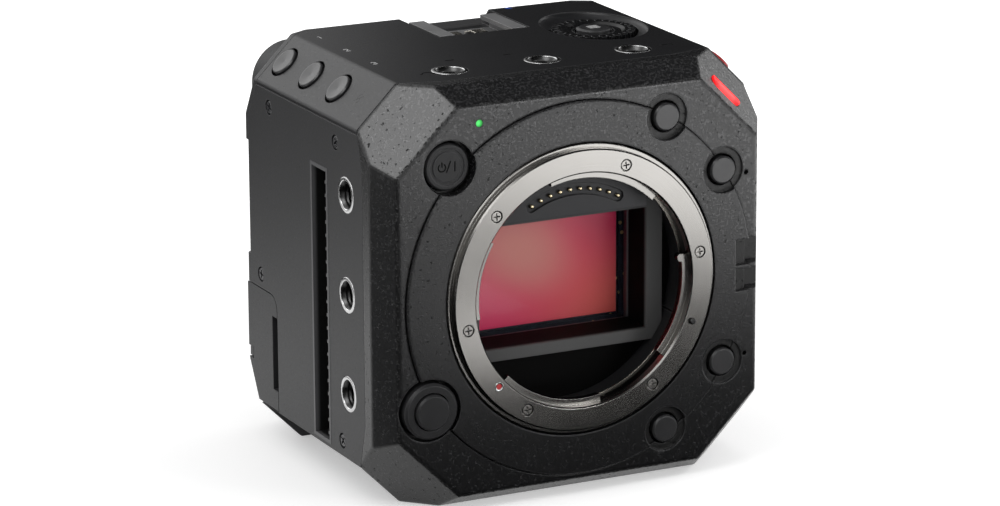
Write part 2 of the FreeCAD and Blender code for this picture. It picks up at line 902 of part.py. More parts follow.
for number, angle in enumerate(mount_screw_angles, start=1):
    x, z = on_circle(d.throat_radius + d.mount_screw_step, angle)
    screw_seats.append(rod(f"screw_seat_{number}", d.mount_screw_radius + d.screw_clearance,
                           d.mount_screw_depth + 1, x, -1, z))
    screws.append(rod(f"mount_screw_{number}", d.mount_screw_radius,
                      d.mount_screw_depth - d.sunk, x, d.sunk, z))
index_x, index_z = on_circle(d.throat_radius + d.index_step, d.index_angle)
lock_x, lock_z = on_circle(d.throat_radius + d.lock_pin_step, d.lock_pin_angle)
index_seat = rod("index_seat", d.index_radius, 1.5, index_x, -0.5, index_z)
lock_hole = rod("ring_lock_hole", d.lock_pin_radius + d.pin_running_gap, d.ring_thick + 3,
                lock_x, -1, lock_z)
keep(cut("lens_mount_ring_cut", fuse("ring_with_tabs", [ring_body] + tabs),
         screw_seats + [index_seat, lock_hole]), "lens_mount_ring")
keep(group("mount_screw_set", screws), "mount_screws")
keep(rod("index_dot_rod", d.index_radius, 0.9, index_x, d.sunk, index_z), "index_dot")

# Lens barrel behind the ring: its front carries the ring, its flange sits behind the bezel

barrel_inner = spigot_radius + d.barrel_fit
barrel_outer = barrel_inner + d.barrel_wall
flange_rear = bezel_wall_rear + d.barrel_flange_thick
barrel_body = turned("barrel_body", [
    (barrel_inner, -d.ring_thick),
    (ring_radius, -d.ring_thick),
    (ring_radius, -bezel_wall_rear),
    (flange_radius, -bezel_wall_rear),
    (flange_radius, -flange_rear),
    (barrel_outer, -flange_rear),
    (barrel_outer, -d.barrel_rear),
    (barrel_inner, -d.barrel_rear),
], 0, 0, 0, "front")
lock_channel = rod("barrel_lock_channel", d.lock_pin_radius + d.pin_running_gap, d.barrel_rear,
                   lock_x, 0, lock_z)
keep(cut("lens_barrel_cut", barrel_body, [lock_channel]), "lens_barrel")

# Leaf spring behind the bayonet tabs
keep(turned("bayonet_spring_turn", [
    (d.throat_radius - 0.3, 0), (spigot_radius, 0),
    (spigot_radius, d.spring_thick), (d.throat_radius - 0.3, d.spring_thick),
], 0, d.ring_spigot_depth + d.spring_thick, 0, "front"), "bayonet_spring")

# Contact block and its ten pins on an arc at the top of the throat

block_top = rod("block_arc", d.throat_radius - d.block_clearance,
                d.baffle_front - d.seam_gap - d.contact_block_front, 0, d.contact_block_front, 0)
block_area = box("block_area", (-d.contact_block_width, d.contact_block_width),
                 (d.contact_block_front, d.baffle_front),
                 (d.contact_block_low, d.throat_radius))
recess_floor = d.contact_block_front + d.contact_recess
recess_half = d.contact_radius + d.contact_recess_margin
recess_start = 90 - d.contact_span / 2
recess_arc = rod("recess_arc", contact_circle + recess_half, d.contact_recess + 1,
                 0, recess_floor, 0, "front", d.contact_span)
recess_arc.Placement = Placement(recess_arc.Placement.Base,
                                 Rotation(Vector(0, -1, 0), recess_start.value) * facing["front"])
recess_middle = rod("recess_middle", contact_circle - recess_half, d.contact_recess + 2,
                    0, d.contact_block_front - 1.5, 0)
recess_tools = [cut("recess_band", recess_arc, [recess_middle])]
contact_count = 10
contacts = []
for number in range(contact_count):
    angle = 90 + d.contact_span * (0.5 - number / (contact_count - 1))
    x, z = on_circle(contact_circle, angle)
    contacts.append(rod(f"contact_{number + 1}", d.contact_radius,
                        recess_floor - d.contact_front, x, d.contact_front, z))
    if number in (0, contact_count - 1):
        recess_tools.append(rod(f"recess_end_{number + 1}", recess_half, d.contact_recess + 1,
                                x, d.contact_block_front - 1, z))
keep(cut("contact_block_cut", common("contact_block_shape", block_top, block_area),
         recess_tools), "contact_block")
keep(group("contact_set", contacts), "contact_pins")

# Light baffle: a disc with a raised rectangular frame and a tapered window


def rectangle(half_width, half_height):
    return [(-half_width, -half_height), (-half_width, half_height),
            (half_width, half_height), (half_width, -half_height)]


baffle_disc = rod("baffle_disc", spigot_radius, d.baffle_disc_rear - d.baffle_disc_front,
                  0, d.baffle_disc_front, 0)
baffle_frame = common(
    "baffle_frame",
    padded("baffle_frame_block", rectangle(d.baffle_half_width, d.baffle_half_height),
           "XZ_Plane", d.baffle_front, d.baffle_rear),
    rod("baffle_round", spigot_radius, d.baffle_rear, 0, 0, 0))
window = lofted("baffle_window", [
    (d.baffle_front - 0.5, rectangle(d.window_half_width, d.window_half_height)),
    (d.baffle_rear + 0.5, rectangle(d.window_half_width - d.window_taper,
                                    d.window_half_height - d.window_taper)),
])
keep(cut("light_baffle_cut", fuse("baffle_solid", [baffle_disc, baffle_frame]), [window]),
     "light_baffle")

# Image sensor: chip in its package, cover glass, carrier and circuit board

sensor_half = d.sensor_width / 2
sensor_rise = d.sensor_height / 2
package_half = sensor_half + d.package_margin
package_rise = sensor_rise + d.package_margin
chip_rear = d.flange_focal_distance + d.sensor_thick


def slab(name, half_width, half_height, front, rear):
    return box(name, (-half_width, half_width), (front, rear), (-half_height, half_height))


keep(slab("sensor_chip", sensor_half, sensor_rise, d.flange_focal_distance, chip_rear),
     "image_sensor")
package_hollow = slab("package_hollow", sensor_half + 0.6, sensor_rise + 0.6,
                      d.package_front - 1, chip_rear)
sensor_package = cut("sensor_package", slab("package_block", package_half, package_rise,
                                            d.package_front, d.package_rear), [package_hollow])
glass_rear = d.glass_front + d.glass_thick
keep(slab("sensor_glass_plate", package_half - 0.2, package_rise - 0.2, d.glass_front,
          glass_rear), "sensor_glass")
carrier_ledge = slab("carrier_ledge", package_half - 1, package_rise - 1,
                     d.carrier_front - 1, d.package_rear)
carrier_room = slab("carrier_room", package_half + 0.1, package_rise + 0.1,
                    d.glass_front, d.package_rear + 1)
keep(cut("sensor_carrier_cut",
         slab("carrier_block", d.carrier_half_width, d.carrier_half_height, d.carrier_front,
              d.package_rear), [carrier_ledge, carrier_room]), "sensor_carrier")
sensor_board_rear = d.package_rear + d.board_thick
board_slab = slab("sensor_board_slab", d.carrier_half_width - 1, d.carrier_half_height - 1,
                  d.package_rear, sensor_board_rear)
keep(fuse("sensor_board_solid", [sensor_package, board_slab]), "sensor_board")

# Power button, lens release with its collar and lock pin, and the four front buttons


def cap(name, radius, front, x, z, face=()):
    """A button cap with a bevelled edge and a stem; face holds the points of a shaped front."""
    stem_end = cap_rear + d.stem_length
    return turned(name, [(0, -front), *face] + [
        (radius - d.cap_edge, -front),
        (radius, -front - d.cap_edge),
        (radius, -cap_rear),
        (d.stem_radius, -cap_rear),
        (d.stem_radius, -stem_end),
        (0, -stem_end),
    ], x, 0, z, "front")


cap_rear = bezel_wall_rear - d.button_travel
power_front = bezel_face + d.power_recess
groove_floor = power_front + d.power_groove_depth
groove_outer = d.power_groove_radius + d.power_groove_width
keep(cap("power_cap", d.power_radius, power_front, d.power_x, d.power_z, [
    (d.power_groove_radius, -power_front),
    (d.power_groove_radius, -groove_floor),
    (groove_outer, -groove_floor),
    (groove_outer, -power_front),
]), "power_button")
release_front = bezel_face - d.panel_proud - d.collar_proud
keep(turned("release_collar_turn", [
    (d.release_radius + d.button_gap, -release_front),
    (d.release_collar - d.collar_edge, -release_front),
    (d.release_collar, -release_front - d.collar_edge),
    (d.release_collar, -bezel_wall_rear),
    (d.release_radius + d.button_gap, -bezel_wall_rear),
], d.release_x, 0, d.release_z, "front"), "release_collar")
keep(cap("release_cap", d.release_radius, release_front - d.release_proud, d.release_x,
         d.release_z), "lens_release_button")
keep(turned("lock_pin_turn", [
    (0, d.lock_pin_stand), (d.lock_pin_radius - 0.2, d.lock_pin_stand),
    (d.lock_pin_radius, d.lock_pin_stand - 0.2), (d.lock_pin_radius, -d.lock_pin_rear),
    (0, -d.lock_pin_rear),
], lock_x, 0, lock_z, "front"), "lens_lock_pin")
for node, (x, z) in front_buttons.items():
    keep(cap(node + "_cap", d.button_radius, bezel_face - d.front_button_proud, x, z), node)

# Threaded inserts: steel bushes with a bevelled mouth, in the top, both sides and the base


def insert(name, x, y, z, face, radius, hole):
    return turned(name, [
        (0, -d.insert_length),
        (0, d.insert_floor - d.insert_length),
        (hole, d.insert_floor - d.insert_length),
        (hole, d.sunk - d.insert_lip),
        (hole + d.insert_lip * 0.75, d.sunk),
        (radius - d.insert_edge, d.sunk),
        (radius, d.sunk - d.insert_edge),
        (radius, -d.insert_length),
    ], x, y, z, face)


def recessed_insert(name, x, y, z, face, radius, hole):
    """An insert that lies just inside the base, so that the base stays flat."""
    bush = insert(name, x, y, z, face, radius, hole)
    place(bush, x, y, as_size(z) + d.insert_recess)
    return bush


def slab_at(name, x, z, half_width, half_height, front, rear):
    return box(name, (x - half_width, x + half_width), (front, rear),
               (z - half_height, z + half_height))


def insert_seat(name, x, y, z, face, radius):
    """A hole for an insert, through the wall from just outside it."""
    seat = rod(name, radius + d.seat_gap, d.insert_length + 2, 0, 0, 0, face)
    outward = facing[face].multVec(Vector(0, 0, 1))
    place(seat, as_size(x) - outward.x * (d.insert_length + 1), y,
          as_size(z) - outward.z * (d.insert_length + 1))
    return seat


top_inserts = []
top_seats = []
for number, way in enumerate((-1, 0, 1), start=1):
    spot = (way * d.insert_pitch, d.insert_depth, d.top_rise, "up")
    top_inserts.append(insert(f"top_insert_{number}", *spot, d.insert_radius, d.insert_hole))
    top_seats.append(insert_seat(f"top_insert_seat_{number}", *spot, d.insert_radius))

# Top cover: roof and both chamfers, with the wells for the shoe, the dial and the buttons

roof = d.top_rise - d.top_wall
inner_chamfer = d.half_width - d.chamfer_wall
seam_level = chamfer_level - d.side_seam_drop
top_outline = [
    (-d.half_width, seam_level),
    (-d.half_width, chamfer_level),
    (d.edge_cut - d.half_width, d.top_rise),
    (d.half_width - d.edge_cut, d.top_rise),
    (d.half_width, chamfer_level),
    (d.half_width, seam_level),
    (inner_chamfer, seam_level),
    (inner_chamfer, chamfer_level),
    (inner_chamfer + chamfer_level - roof, roof),
    (roof - inner_chamfer - chamfer_level, roof),
    (-inner_chamfer, chamfer_level),
    (-inner_chamfer, seam_level),
]
cover_front = bezel_face + d.front_seam
top_block = common("top_block", padded("top_pad", top_outline, "XZ_Plane", cover_front,
                                       cover_rear), wrap)
ridge_sum = (d.half_width + chamfer_level).value - 0.01
rounded_top = rounded("rounded_top", top_block, d.cover_rounding,
                      lambda one, two: (abs(one.y - two.y) > 1 and abs(one.x) + one.z > ridge_sum
                                        and abs(two.x) + two.z > ridge_sum))
rear_bevel = padded("rear_bevel", [
    (frame_rear - d.rear_bevel, d.top_rise), (frame_rear + 1, d.top_rise - d.rear_bevel - 1),
    (frame_rear + 1, d.top_rise + 1), (frame_rear - d.rear_bevel, d.top_rise + 1),
], "YZ_Plane", -d.half_width - 1, d.half_width + 1)
shoe_height = d.shoe_floor + d.shoe_slot_height + d.shoe_lip_thick
shoe_base = d.top_rise - shoe_height
recess_half = d.shoe_width / 2 + d.shoe_recess_side
shoe_recess = box("shoe_recess", (d.shoe_x - recess_half, d.shoe_x + recess_half),
                  (d.shoe_front - d.shoe_recess_side, frame_rear + 1),
                  (shoe_base, d.top_rise + 1))
dial_well = rod("dial_well", d.dial_well, d.dial_well_depth + 1, d.dial_x, d.dial_y,
                d.top_rise - d.dial_well_depth, "up")
dial_scoop = doc.addObject("Part::Ellipsoid", "dial_scoop")
bind(dial_scoop, "Radius1", d.dial_scoop_depth)
bind(dial_scoop, "Radius2", d.dial_scoop_x)
bind(dial_scoop, "Radius3", d.dial_scoop_y)
place(dial_scoop, d.dial_x, d.dial_y, d.top_rise)


def chamfer_spot(way):
    """The middle of a top chamfer: way is -1 on the left and 1 on the right."""
    return way * (d.half_width - d.edge_cut / 2), d.top_rise - d.edge_cut / 2


def chamfer_well(name, way, y, radius, depth):
    x, z = chamfer_spot(way)
    well = rod(name, radius, depth + 2, 0, 0, 0, "left_chamfer" if way < 0 else "right_chamfer")
    drop = depth / math.sqrt(2)
    place(well, x - way * drop, y, z - drop)
    return well


side_wells = []
x, z = chamfer_spot(-1)
for number in range(3):
    y = d.side_button_first + number * d.side_button_pitch
    side_wells.append(chamfer_well(f"side_well_{number + 1}", -1, y,
                                   d.side_button_radius + d.side_button_gap,
                                   d.side_button_well))
    keep(turned(f"side_button_turn_{number + 1}", [
        (0, d.side_button_proud - d.side_button_dish),
        (d.side_button_radius - d.side_button_edge * 2, d.side_button_proud),
        (d.side_button_radius - d.side_button_edge, d.side_button_proud),
        (d.side_button_radius, d.side_button_proud - d.side_button_edge),
        (d.side_button_radius, -d.side_button_thick),
        (0, -d.side_button_thick),
    ], x, y, z, "left_chamfer"), f"side_button_{number + 1}")
x, z = chamfer_spot(1)
record_well = chamfer_well("record_well", 1, d.record_button_depth,
                           d.record_button_radius + d.record_button_gap, d.side_button_well)
keep(turned("record_button_turn", [
    (0, d.record_button_proud),
    (d.record_button_radius - d.record_button_edge, d.record_button_proud),
    (d.record_button_radius, d.record_button_proud - d.record_button_edge),
    (d.record_button_radius, -d.side_button_thick), (0, -d.side_button_thick),
], x, d.record_button_depth, z, "right_chamfer"), "record_button")
network_lamp_spot = (d.network_lamp_x, d.network_lamp_y)
lamp_foot = d.top_rise - d.network_lamp_depth
lamp_seat = rod("network_lamp_seat", d.network_lamp_radius, d.network_lamp_depth + 1,
                *network_lamp_spot, lamp_foot, "up")
keep(rod("network_lamp_rod", d.network_lamp_radius, d.network_lamp_depth - d.sunk,
         *network_lamp_spot, lamp_foot, "up"), "network_lamp")
keep(cut("top_cover_cut", rounded_top,
         top_seats + side_wells + [shoe_recess, dial_well, dial_scoop, record_well, lamp_seat,
                                   rear_bevel]), "top_cover")

# Accessory shoe and its spring


def shifted(outline, x, y):
    return [(px + x, py + y) for px, py in outline]


shoe_outline = [
    (-d.shoe_width / 2, 0), (-d.shoe_width / 2, shoe_height),
    (-d.shoe_lip_gap / 2, shoe_height), (-d.shoe_lip_gap / 2, shoe_height - d.shoe_lip_thick),
    (-d.shoe_slot_width / 2, shoe_height - d.shoe_lip_thick),
    (-d.shoe_slot_width / 2, d.shoe_floor), (d.shoe_slot_width / 2, d.shoe_floor),
    (d.shoe_slot_width / 2, shoe_height - d.shoe_lip_thick),
    (d.shoe_lip_gap / 2, shoe_height - d.shoe_lip_thick), (d.shoe_lip_gap / 2, shoe_height),
    (d.shoe_width / 2, shoe_height), (d.shoe_width / 2, 0),
]
keep(padded("shoe_pad", shifted(shoe_outline, d.shoe_x, shoe_base), "XZ_Plane", d.shoe_front,
            d.shoe_front + d.shoe_length), "accessory_shoe")
spring_floor = shoe_base + d.shoe_floor
spring_front = d.shoe_front + d.spring_inset
sheet_top = d.spring_gap + d.spring_sheet
crest_top = d.spring_crest + d.spring_sheet
leaf = [
    (0, d.spring_gap), (d.spring_start, d.spring_gap),
    (d.spring_crest_start, d.spring_crest), (d.spring_crest_end, d.spring_crest),
    (d.spring_length, d.spring_gap), (d.spring_length, sheet_top),
    (d.spring_crest_end, crest_top), (d.spring_crest_start, crest_top),
    (d.spring_start, sheet_top), (0, sheet_top),
]
leaves = [padded(f"shoe_leaf_{word}", shifted(leaf, spring_front, spring_floor), "YZ_Plane",
                 d.shoe_x + start, d.shoe_x + start + d.spring_leaf_width)
          for word, start in (("left", -d.spring_half_width),
                              ("right", d.spring_half_width - d.spring_leaf_width))]
spring_plate = box("spring_plate",
                   (d.shoe_x - d.spring_half_width, d.shoe_x + d.spring_half_width),
                   (spring_front, spring_front + d.spring_plate_length),
                   (spring_floor + d.spring_gap, spring_floor + sheet_top))
keep(fuse("shoe_spring_solid", [spring_plate] + leaves), "shoe_spring")

# Control dial with a knurled rim, its hollow shaft and the button in its middle

dial_top = d.top_rise - d.dial_drop
dial_base = dial_top - d.dial_height
well_floor = d.top_rise - d.dial_well_depth
dial_rim = doc.addObject("PartDesign::Body", "dial_rim")
rim_circle = sketch_on(dial_rim, "rim_circle", "XY_Plane", dial_base)
draw_circle(rim_circle, 0, 0, d.dial_radius)
rim_pad = dial_rim.newObject("PartDesign::Pad", "rim_pad")
rim_pad.Profile = rim_circle
bind(rim_pad, "Length", d.dial_height)
groove_section = sketch_on(dial_rim, "groove_section", "XY_Plane", dial_base)
tooth_foot = d.dial_radius - d.dial_tooth
past_rim = d.dial_radius + d.dial_tooth / 2
draw_outline(groove_section, [
    (tooth_foot, d.dial_groove_width / -3), (tooth_foot, d.dial_groove_width / 3),
    (past_rim, d.dial_groove_width / 2), (past_rim, d.dial_groove_width / -2),
])
rim_groove = dial_rim.newObject("PartDesign::Pocket", "rim_groove")
rim_groove.Profile = groove_section
bind(rim_groove, "Length", d.dial_height)
rim_groove.Reversed = True
rim_grooves = dial_rim.newObject("PartDesign::PolarPattern", "rim_grooves")
rim_grooves.Originals = [rim_groove]
rim_grooves.Axis = (rim_circle, ["N_Axis"])
rim_grooves.Angle = 360
bind(rim_grooves, "Occurrences", d.dial_teeth)
dial_rim.Tip = rim_grooves
place(dial_rim, d.dial_x, d.dial_y, 0)
dial_bowl = turned("dial_bowl", [
    (0, 1), (d.dial_bowl_radius, 1), (d.dial_bowl_radius, 0),
    (d.dial_bowl_foot, -d.dial_bowl_depth), (0, -d.dial_bowl_depth),
], d.dial_x, d.dial_y, dial_top, "up")
dial_bore = rod("dial_bore", d.dial_shaft_radius + d.pin_running_gap, d.dial_height + 1,
                d.dial_x, d.dial_y, dial_base - 0.5, "up")
keep(cut("control_dial_cut", dial_rim, [dial_bowl, dial_bore]), "control_dial")
shaft_top = dial_top - d.dial_bowl_depth - well_floor
cup_floor = dial_top - d.dial_cup_depth - well_floor
cup_radius = d.dial_button_radius + d.dial_button_gap
thrust_top = dial_base - d.dial_thrust_gap - well_floor
keep(turned("dial_shaft_turn", [
    (d.dial_stem_radius + d.pin_running_gap, 0), (d.dial_thrust_radius, 0),
    (d.dial_thrust_radius, thrust_top), (d.dial_shaft_radius, thrust_top),
    (d.dial_shaft_radius, shaft_top), (cup_radius, shaft_top), (cup_radius, cup_floor),
    (d.dial_stem_radius + d.pin_running_gap, cup_floor),
], d.dial_x, d.dial_y, well_floor, "up"), "dial_shaft")
button_base = d.dial_cup_depth - d.dial_button_thick
keep(turned("dial_button_turn", [
    (0, d.dial_button_proud), (d.dial_button_radius - d.dial_button_edge, d.dial_button_proud),
    (d.dial_button_radius, 0),
    (d.dial_button_radius, -button_base), (d.dial_stem_radius, -button_base),
    (d.dial_stem_radius, -d.dial_stem_depth), (0, -d.dial_stem_depth),
], d.dial_x, d.dial_y, dial_top, "up"), "dial_button")

# Side covers with their inserts, vent trims and screws; the left one has the card door

side_screws = (
    (d.upper_rear_screw_y, chamfer_level - d.upper_rear_screw_drop),
    (d.upper_front_screw_y, chamfer_level - d.upper_front_screw_drop),
    (d.middle_rear_screw_y, d.middle_rear_screw_z),
    (d.lower_front_screw_y, slope_level + d.lower_front_screw_rise),
)
inner_face = d.half_width - d.side_wall
door_low = slope_level + d.door_gap


def door_region(name, x, grow, rear, low):
    """The door's space along one side, larger by a gap, with its upper front corner rounded."""
    front = d.door_front - grow
    high = d.door_high + grow
    radius = d.door_corner + grow
    block = box(name + "_block", x, (front, rear), (low, high))
    square = box(name + "_corner", (x[0] - 1, x[1] + 1), (front - 1, front + radius),
                 (high - radius, high + 1))
    curve = rod(name + "_curve", radius, as_size(x[1]) - x[0] + 4, x[1] + 2, front + radius,
                high - radius, "left")
    return cut(name, block, [cut(name + "_corner_cut", square, [curve])])


door_opening = door_region("door_opening", (-d.half_width - 1, d.door_room - d.half_width),
                           d.door_gap, frame_rear + 1, slope_level - 0.5)


def span(way, low, high):
    """A low and high pair on one side: way is -1 on the left and 1 on the right."""
    return (low, high) if way > 0 else (-high, -low)


def vent_trim(side, way):
    """A lining frame for the slot with short ribs along its front edge."""
    inner = d.half_width - d.vent_trim_depth
    shell = box(f"{side}_trim_block", span(way, inner, d.half_width + d.trim_proud),
                (d.vent_front, d.vent_rear), (d.vent_low, d.vent_high))
    room = box(f"{side}_trim_room", span(way, inner - 1, d.half_width + 1),
               (d.vent_front + d.vent_trim_wall, d.vent_rear - d.vent_trim_wall),
               (d.vent_low + d.vent_trim_wall, d.vent_high - d.vent_trim_wall))
    ribs = []
    for number in range(sizes["vent_rib_count"]):
        z = d.vent_low + d.vent_rib_start + number * d.vent_pitch
        ribs.append(box(f"{side}_rib_{number + 1}",
                        span(way, inner, d.half_width - d.vent_rib_sunk),
                        (d.vent_front, d.vent_front + d.vent_trim_wall + d.vent_rib_length),
                        (z, z + d.vent_rib_thick)))
    return fuse(f"{side}_trim_solid", [cut(f"{side}_trim_frame", shell, [room])] + ribs)


side_inserts = []
side_heads = []
vent_trims = []
for side, way in (("left", -1), ("right", 1)):
    plate = common(f"{side}_plate", box(
        f"{side}_block", span(way, inner_face, d.half_width), (cover_front, cover_rear),
        (slope_level + d.seam_gap, seam_level - d.seam_gap)), wrap)
    tools = [box(f"{side}_slot", span(way, inner_face - 1, d.half_width + 1),
                 (d.vent_front - d.seat_gap, d.vent_rear + d.seat_gap),
                 (d.vent_low - d.seat_gap, d.vent_high + d.seat_gap))]
    for number, step in enumerate((-1, 0, 1), start=1):
        spot = (way * d.half_width, d.insert_depth, step * d.insert_pitch, side)
        side_inserts.append(insert(f"{side}_insert_{number}", *spot, d.insert_radius,
                                   d.insert_hole))
        tools.append(insert_seat(f"{side}_insert_seat_{number}", *spot, d.insert_radius))
    for number, (y, z) in enumerate(side_screws, start=1):
        x = way * (d.half_width - d.case_screw_depth)
        tools.append(rod(f"{side}_screw_seat_{number}", d.case_screw_radius + d.screw_clearance,
                         d.case_screw_depth + 1, x, y, z, side))
        side_heads.append(rod(f"{side}_screw_{number}", d.case_screw_radius,
                              d.case_screw_depth - d.sunk, x, y, z, side))
    if side == "left":
        tools.append(door_opening)
    keep(cut(f"{side}_cover_cut", plate, tools), f"{side}_cover")
    vent_trims.append(vent_trim(side, way))
keep(group("vent_trim_pair", vent_trims), "vent_trims")

# Rear frame: a thin cap whose corners reach forward, with the hinge lug of the card door

facet_start = frame_front + d.rear_layer
rear_envelope = lofted("rear_envelope", [
    (frame_front, case_outline(0, d.edge_cut)),
    (facet_start, case_outline(0, d.edge_cut)),
    (frame_rear, case_outline(0, d.seam_corner_cut)),
])
door_envelope = lofted("door_envelope", [
    (d.door_front - 5, case_outline(0, d.edge_cut)),
    (facet_start, case_outline(0, d.edge_cut)),
    (frame_rear, case_outline(0, d.seam_corner_cut)),
])
hinge_x = d.door_hinge_inset - d.half_width
hinge_y = frame_rear - d.door_hinge_inset
lug_low = d.door_lug_z - d.door_lug_height / 2
lug_high = d.door_lug_z + d.door_lug_height / 2
hinge_lug = box("hinge_lug",
                (hinge_x - d.door_lug_wall, d.door_room - d.half_width + d.door_gap),
                (cover_rear + d.seam_gap, frame_rear - d.sunk), (lug_low, lug_high))
pin_top = d.door_high + d.door_pin_rise
pin_hole = rod("door_pin_hole", d.door_pin_radius, pin_top - lug_low, hinge_x, hinge_y, lug_low,
               "up")
frame_notch = box("frame_notch", (-d.half_width - 1, d.frame_notch_depth - d.half_width),
                  (cover_rear - 1, frame_rear + 1), (d.frame_notch_low, d.frame_notch_high))
rear_half_width = d.half_width - d.rear_side_gap
rear_top = d.top_rise - d.rear_top_gap
rear_low = d.rear_low_gap - d.bottom_drop
socket_z = rear_top - d.socket_row_drop
socket_front = panel_rear - d.socket_depth
socket_rear = panel_rear + d.socket_proud
network_x = rear_half_width - d.network_inset
network_z = rear_low + d.network_rise
network_block = box("network_block",
                    (network_x - d.network_width / 2, network_x + d.network_width / 2),
                    (panel_rear - d.network_depth, socket_rear),
                    (network_z - d.network_height / 2, network_z + d.network_height / 2))
wide_blocks = [
    box(f"{name}_block", (x - wide / 2, x + wide / 2),
        (socket_front, socket_rear), (socket_z - high / 2, socket_z + high / 2))
    for name, x, wide, high in (("display", d.display_x, d.display_width, d.display_height),
                                ("data", d.data_x, d.data_width, d.data_height))
]
power_block = rod("inlet_block", d.inlet_radius, socket_rear - socket_front, d.inlet_x,
                  socket_front, socket_z)
audio_x = d.audio_inset - rear_half_width
audio_blocks = [rod(f"audio_block_{number}", d.audio_radius, socket_rear - socket_front, audio_x,
                    socket_front, socket_z - number * d.audio_pitch) for number in (0, 1)]
coax_x = rear_half_width - d.coax_inset
coax_levels = [rear_top - d.coax_drop - number * d.coax_pitch for number in range(3)]
coax_seats = [rod(f"coax_seat_{number}", d.coax_radius, d.coax_depth + d.coax_collar, coax_x,
                  panel_rear - d.coax_depth, z) for number, z in enumerate(coax_levels, start=1)]
rear_screw_x = rear_half_width - d.rear_screw_inset
rear_screws = [(x, z) for x in (-rear_screw_x, rear_screw_x)
               for z in (-d.rear_screw_z, d.rear_screw_z)]
rear_heads = []
rear_head_seats = []
for number, (x, z) in enumerate(rear_screws, start=1):
    rear_head_seats.append(rod(f"rear_screw_seat_{number}",
                               d.case_screw_radius + d.screw_clearance,
                               d.case_screw_depth + 1, x, panel_rear - d.case_screw_depth, z))
    rear_heads.append(rod(f"rear_screw_{number}", d.case_screw_radius,
                          d.case_screw_depth - d.sunk, x, panel_rear - d.case_screw_depth, z))
rear_sockets = [network_block] + wide_blocks + [power_block] + audio_blocks + coax_seats
rounded_rear = rounded("rounded_rear", rear_envelope, d.frame_rounding,
                       lambda one, two: max(one.y, two.y) > facet_start.value - 0.1)
frame_shell = cut("rear_frame_shell", rounded_rear,
                  [wrap_clear, door_opening, shoe_recess, frame_notch, rear_bevel]
                  + rear_sockets)
keep(cut("rear_frame_cut", fuse("rear_frame_with_lug", [frame_shell, hinge_lug]), [pin_hole]),
     "rear_frame")

# Card door on its hinge pin, and the card slots behind it

door_block = common("door_block", door_region(
    "door_plate", (-d.half_width, -inner_face), 0, frame_rear, door_low), door_envelope)
door_groove = box("door_groove", (-d.half_width - 1, d.door_groove_depth - d.half_width),
                  (d.door_front - 1, d.door_front + d.door_groove_width),
                  (d.door_groove_low, d.door_groove_high))
lug_notch = box("lug_notch", (-d.half_width - 1, -inner_face + 1),
                (hinge_y - d.door_lug_room, frame_rear + 1),
                (lug_low - d.door_gap, lug_high + d.door_gap))
door_bore = rod("door_bore", d.door_pin_radius + d.door_pin_gap, pin_top - door_low + 2, hinge_x,
                hinge_y, door_low - 1, "up")
keep(cut("card_door_cut", door_block, [door_groove, lug_notch, door_bore]), "card_door")
keep(rod("door_pin_rod", d.door_pin_radius, pin_top - lug_low - d.door_pin_end * 2, hinge_x,
         hinge_y, lug_low + d.door_pin_end, "up"), "card_door_pin")
card_middle = (door_low + d.door_high) / 2
card_front = d.door_front + d.card_inset
card_face = d.card_gap - inner_face
card_rise = d.card_width / 2
card_block = box("card_block", (card_face, card_face + d.card_unit_length),
                 (card_front, card_front + d.card_unit_depth),
                 (card_middle - card_rise - d.card_unit_wall,
                  card_middle + card_rise + d.card_unit_wall))
card_slots = []
for number in (0, 1):
    slot_front = card_front + d.card_slot_start + number * d.card_pitch
    card_slots.append(box(f"card_slot_{number + 1}", (card_face - 1, card_face + d.card_slot_depth),
                          (slot_front, slot_front + d.card_thick),
                          (card_middle - card_rise, card_middle + card_rise)))
keep(cut("card_slot_unit_cut", common("card_unit_shape", card_block, wrap), card_slots),
     "card_slot_unit")

# Base cover with the two tripod inserts and its screws

base_outline = [
    (-d.half_width, slope_level),
    (d.base_slope_run - d.half_width, -d.bottom_drop),
    (d.half_width - d.base_slope_run, -d.bottom_drop),
    (d.half_width, slope_level),
    (d.half_width - d.base_wall * d.base_slope_run / d.edge_cut, slope_level),
    (d.half_width - d.base_slope_run, d.base_wall - d.bottom_drop),
    (d.base_slope_run - d.half_width, d.base_wall - d.bottom_drop),
    (d.base_wall * d.base_slope_run / d.edge_cut - d.half_width, slope_level),
]
base_block = common("base_block", padded("base_pad", base_outline, "XZ_Plane", cover_front,
                                         cover_rear), wrap)
small_spot = (0, d.base_insert_depth, -d.bottom_drop, "down")
large_spot = (0, d.base_insert_depth + d.base_insert_pitch, -d.bottom_drop, "down")
base_heads = []
base_tools = [
    insert_seat("small_insert_seat", *small_spot, d.insert_radius),
    insert_seat("large_insert_seat", *large_spot, d.large_insert_radius),
]
base_screws = [(x, y) for x in (-d.base_screw_x, d.base_screw_x)
               for y in (d.base_front_screw_y, d.base_rear_screw_y)]
for number, (x, y) in enumerate(base_screws, start=1):
    z = d.case_screw_depth - d.bottom_drop
    base_tools.append(rod(f"base_screw_seat_{number}", d.case_screw_radius + d.screw_clearance,
                          d.case_screw_depth + 1, x, y, z, "down"))
    base_heads.append(rod(f"base_screw_{number}", d.case_screw_radius,
                          d.case_screw_depth - d.sunk, x, y, z, "down"))
keep(cut("base_cover_cut", base_block, base_tools), "base_cover")
keep(group("cover_screw_set", side_heads + rear_heads + base_heads), "cover_screws")
small_insert = recessed_insert("small_tripod_turn", *small_spot, d.insert_radius, d.insert_hole)
keep(group("insert_set", top_inserts + side_inserts + [small_insert]), "thread_inserts")
keep(recessed_insert("large_tripod_turn", *large_spot, d.large_insert_radius,
                     d.large_insert_hole), "tripod_insert")

# Chassis: front plate with four posts that run back to the rear frame

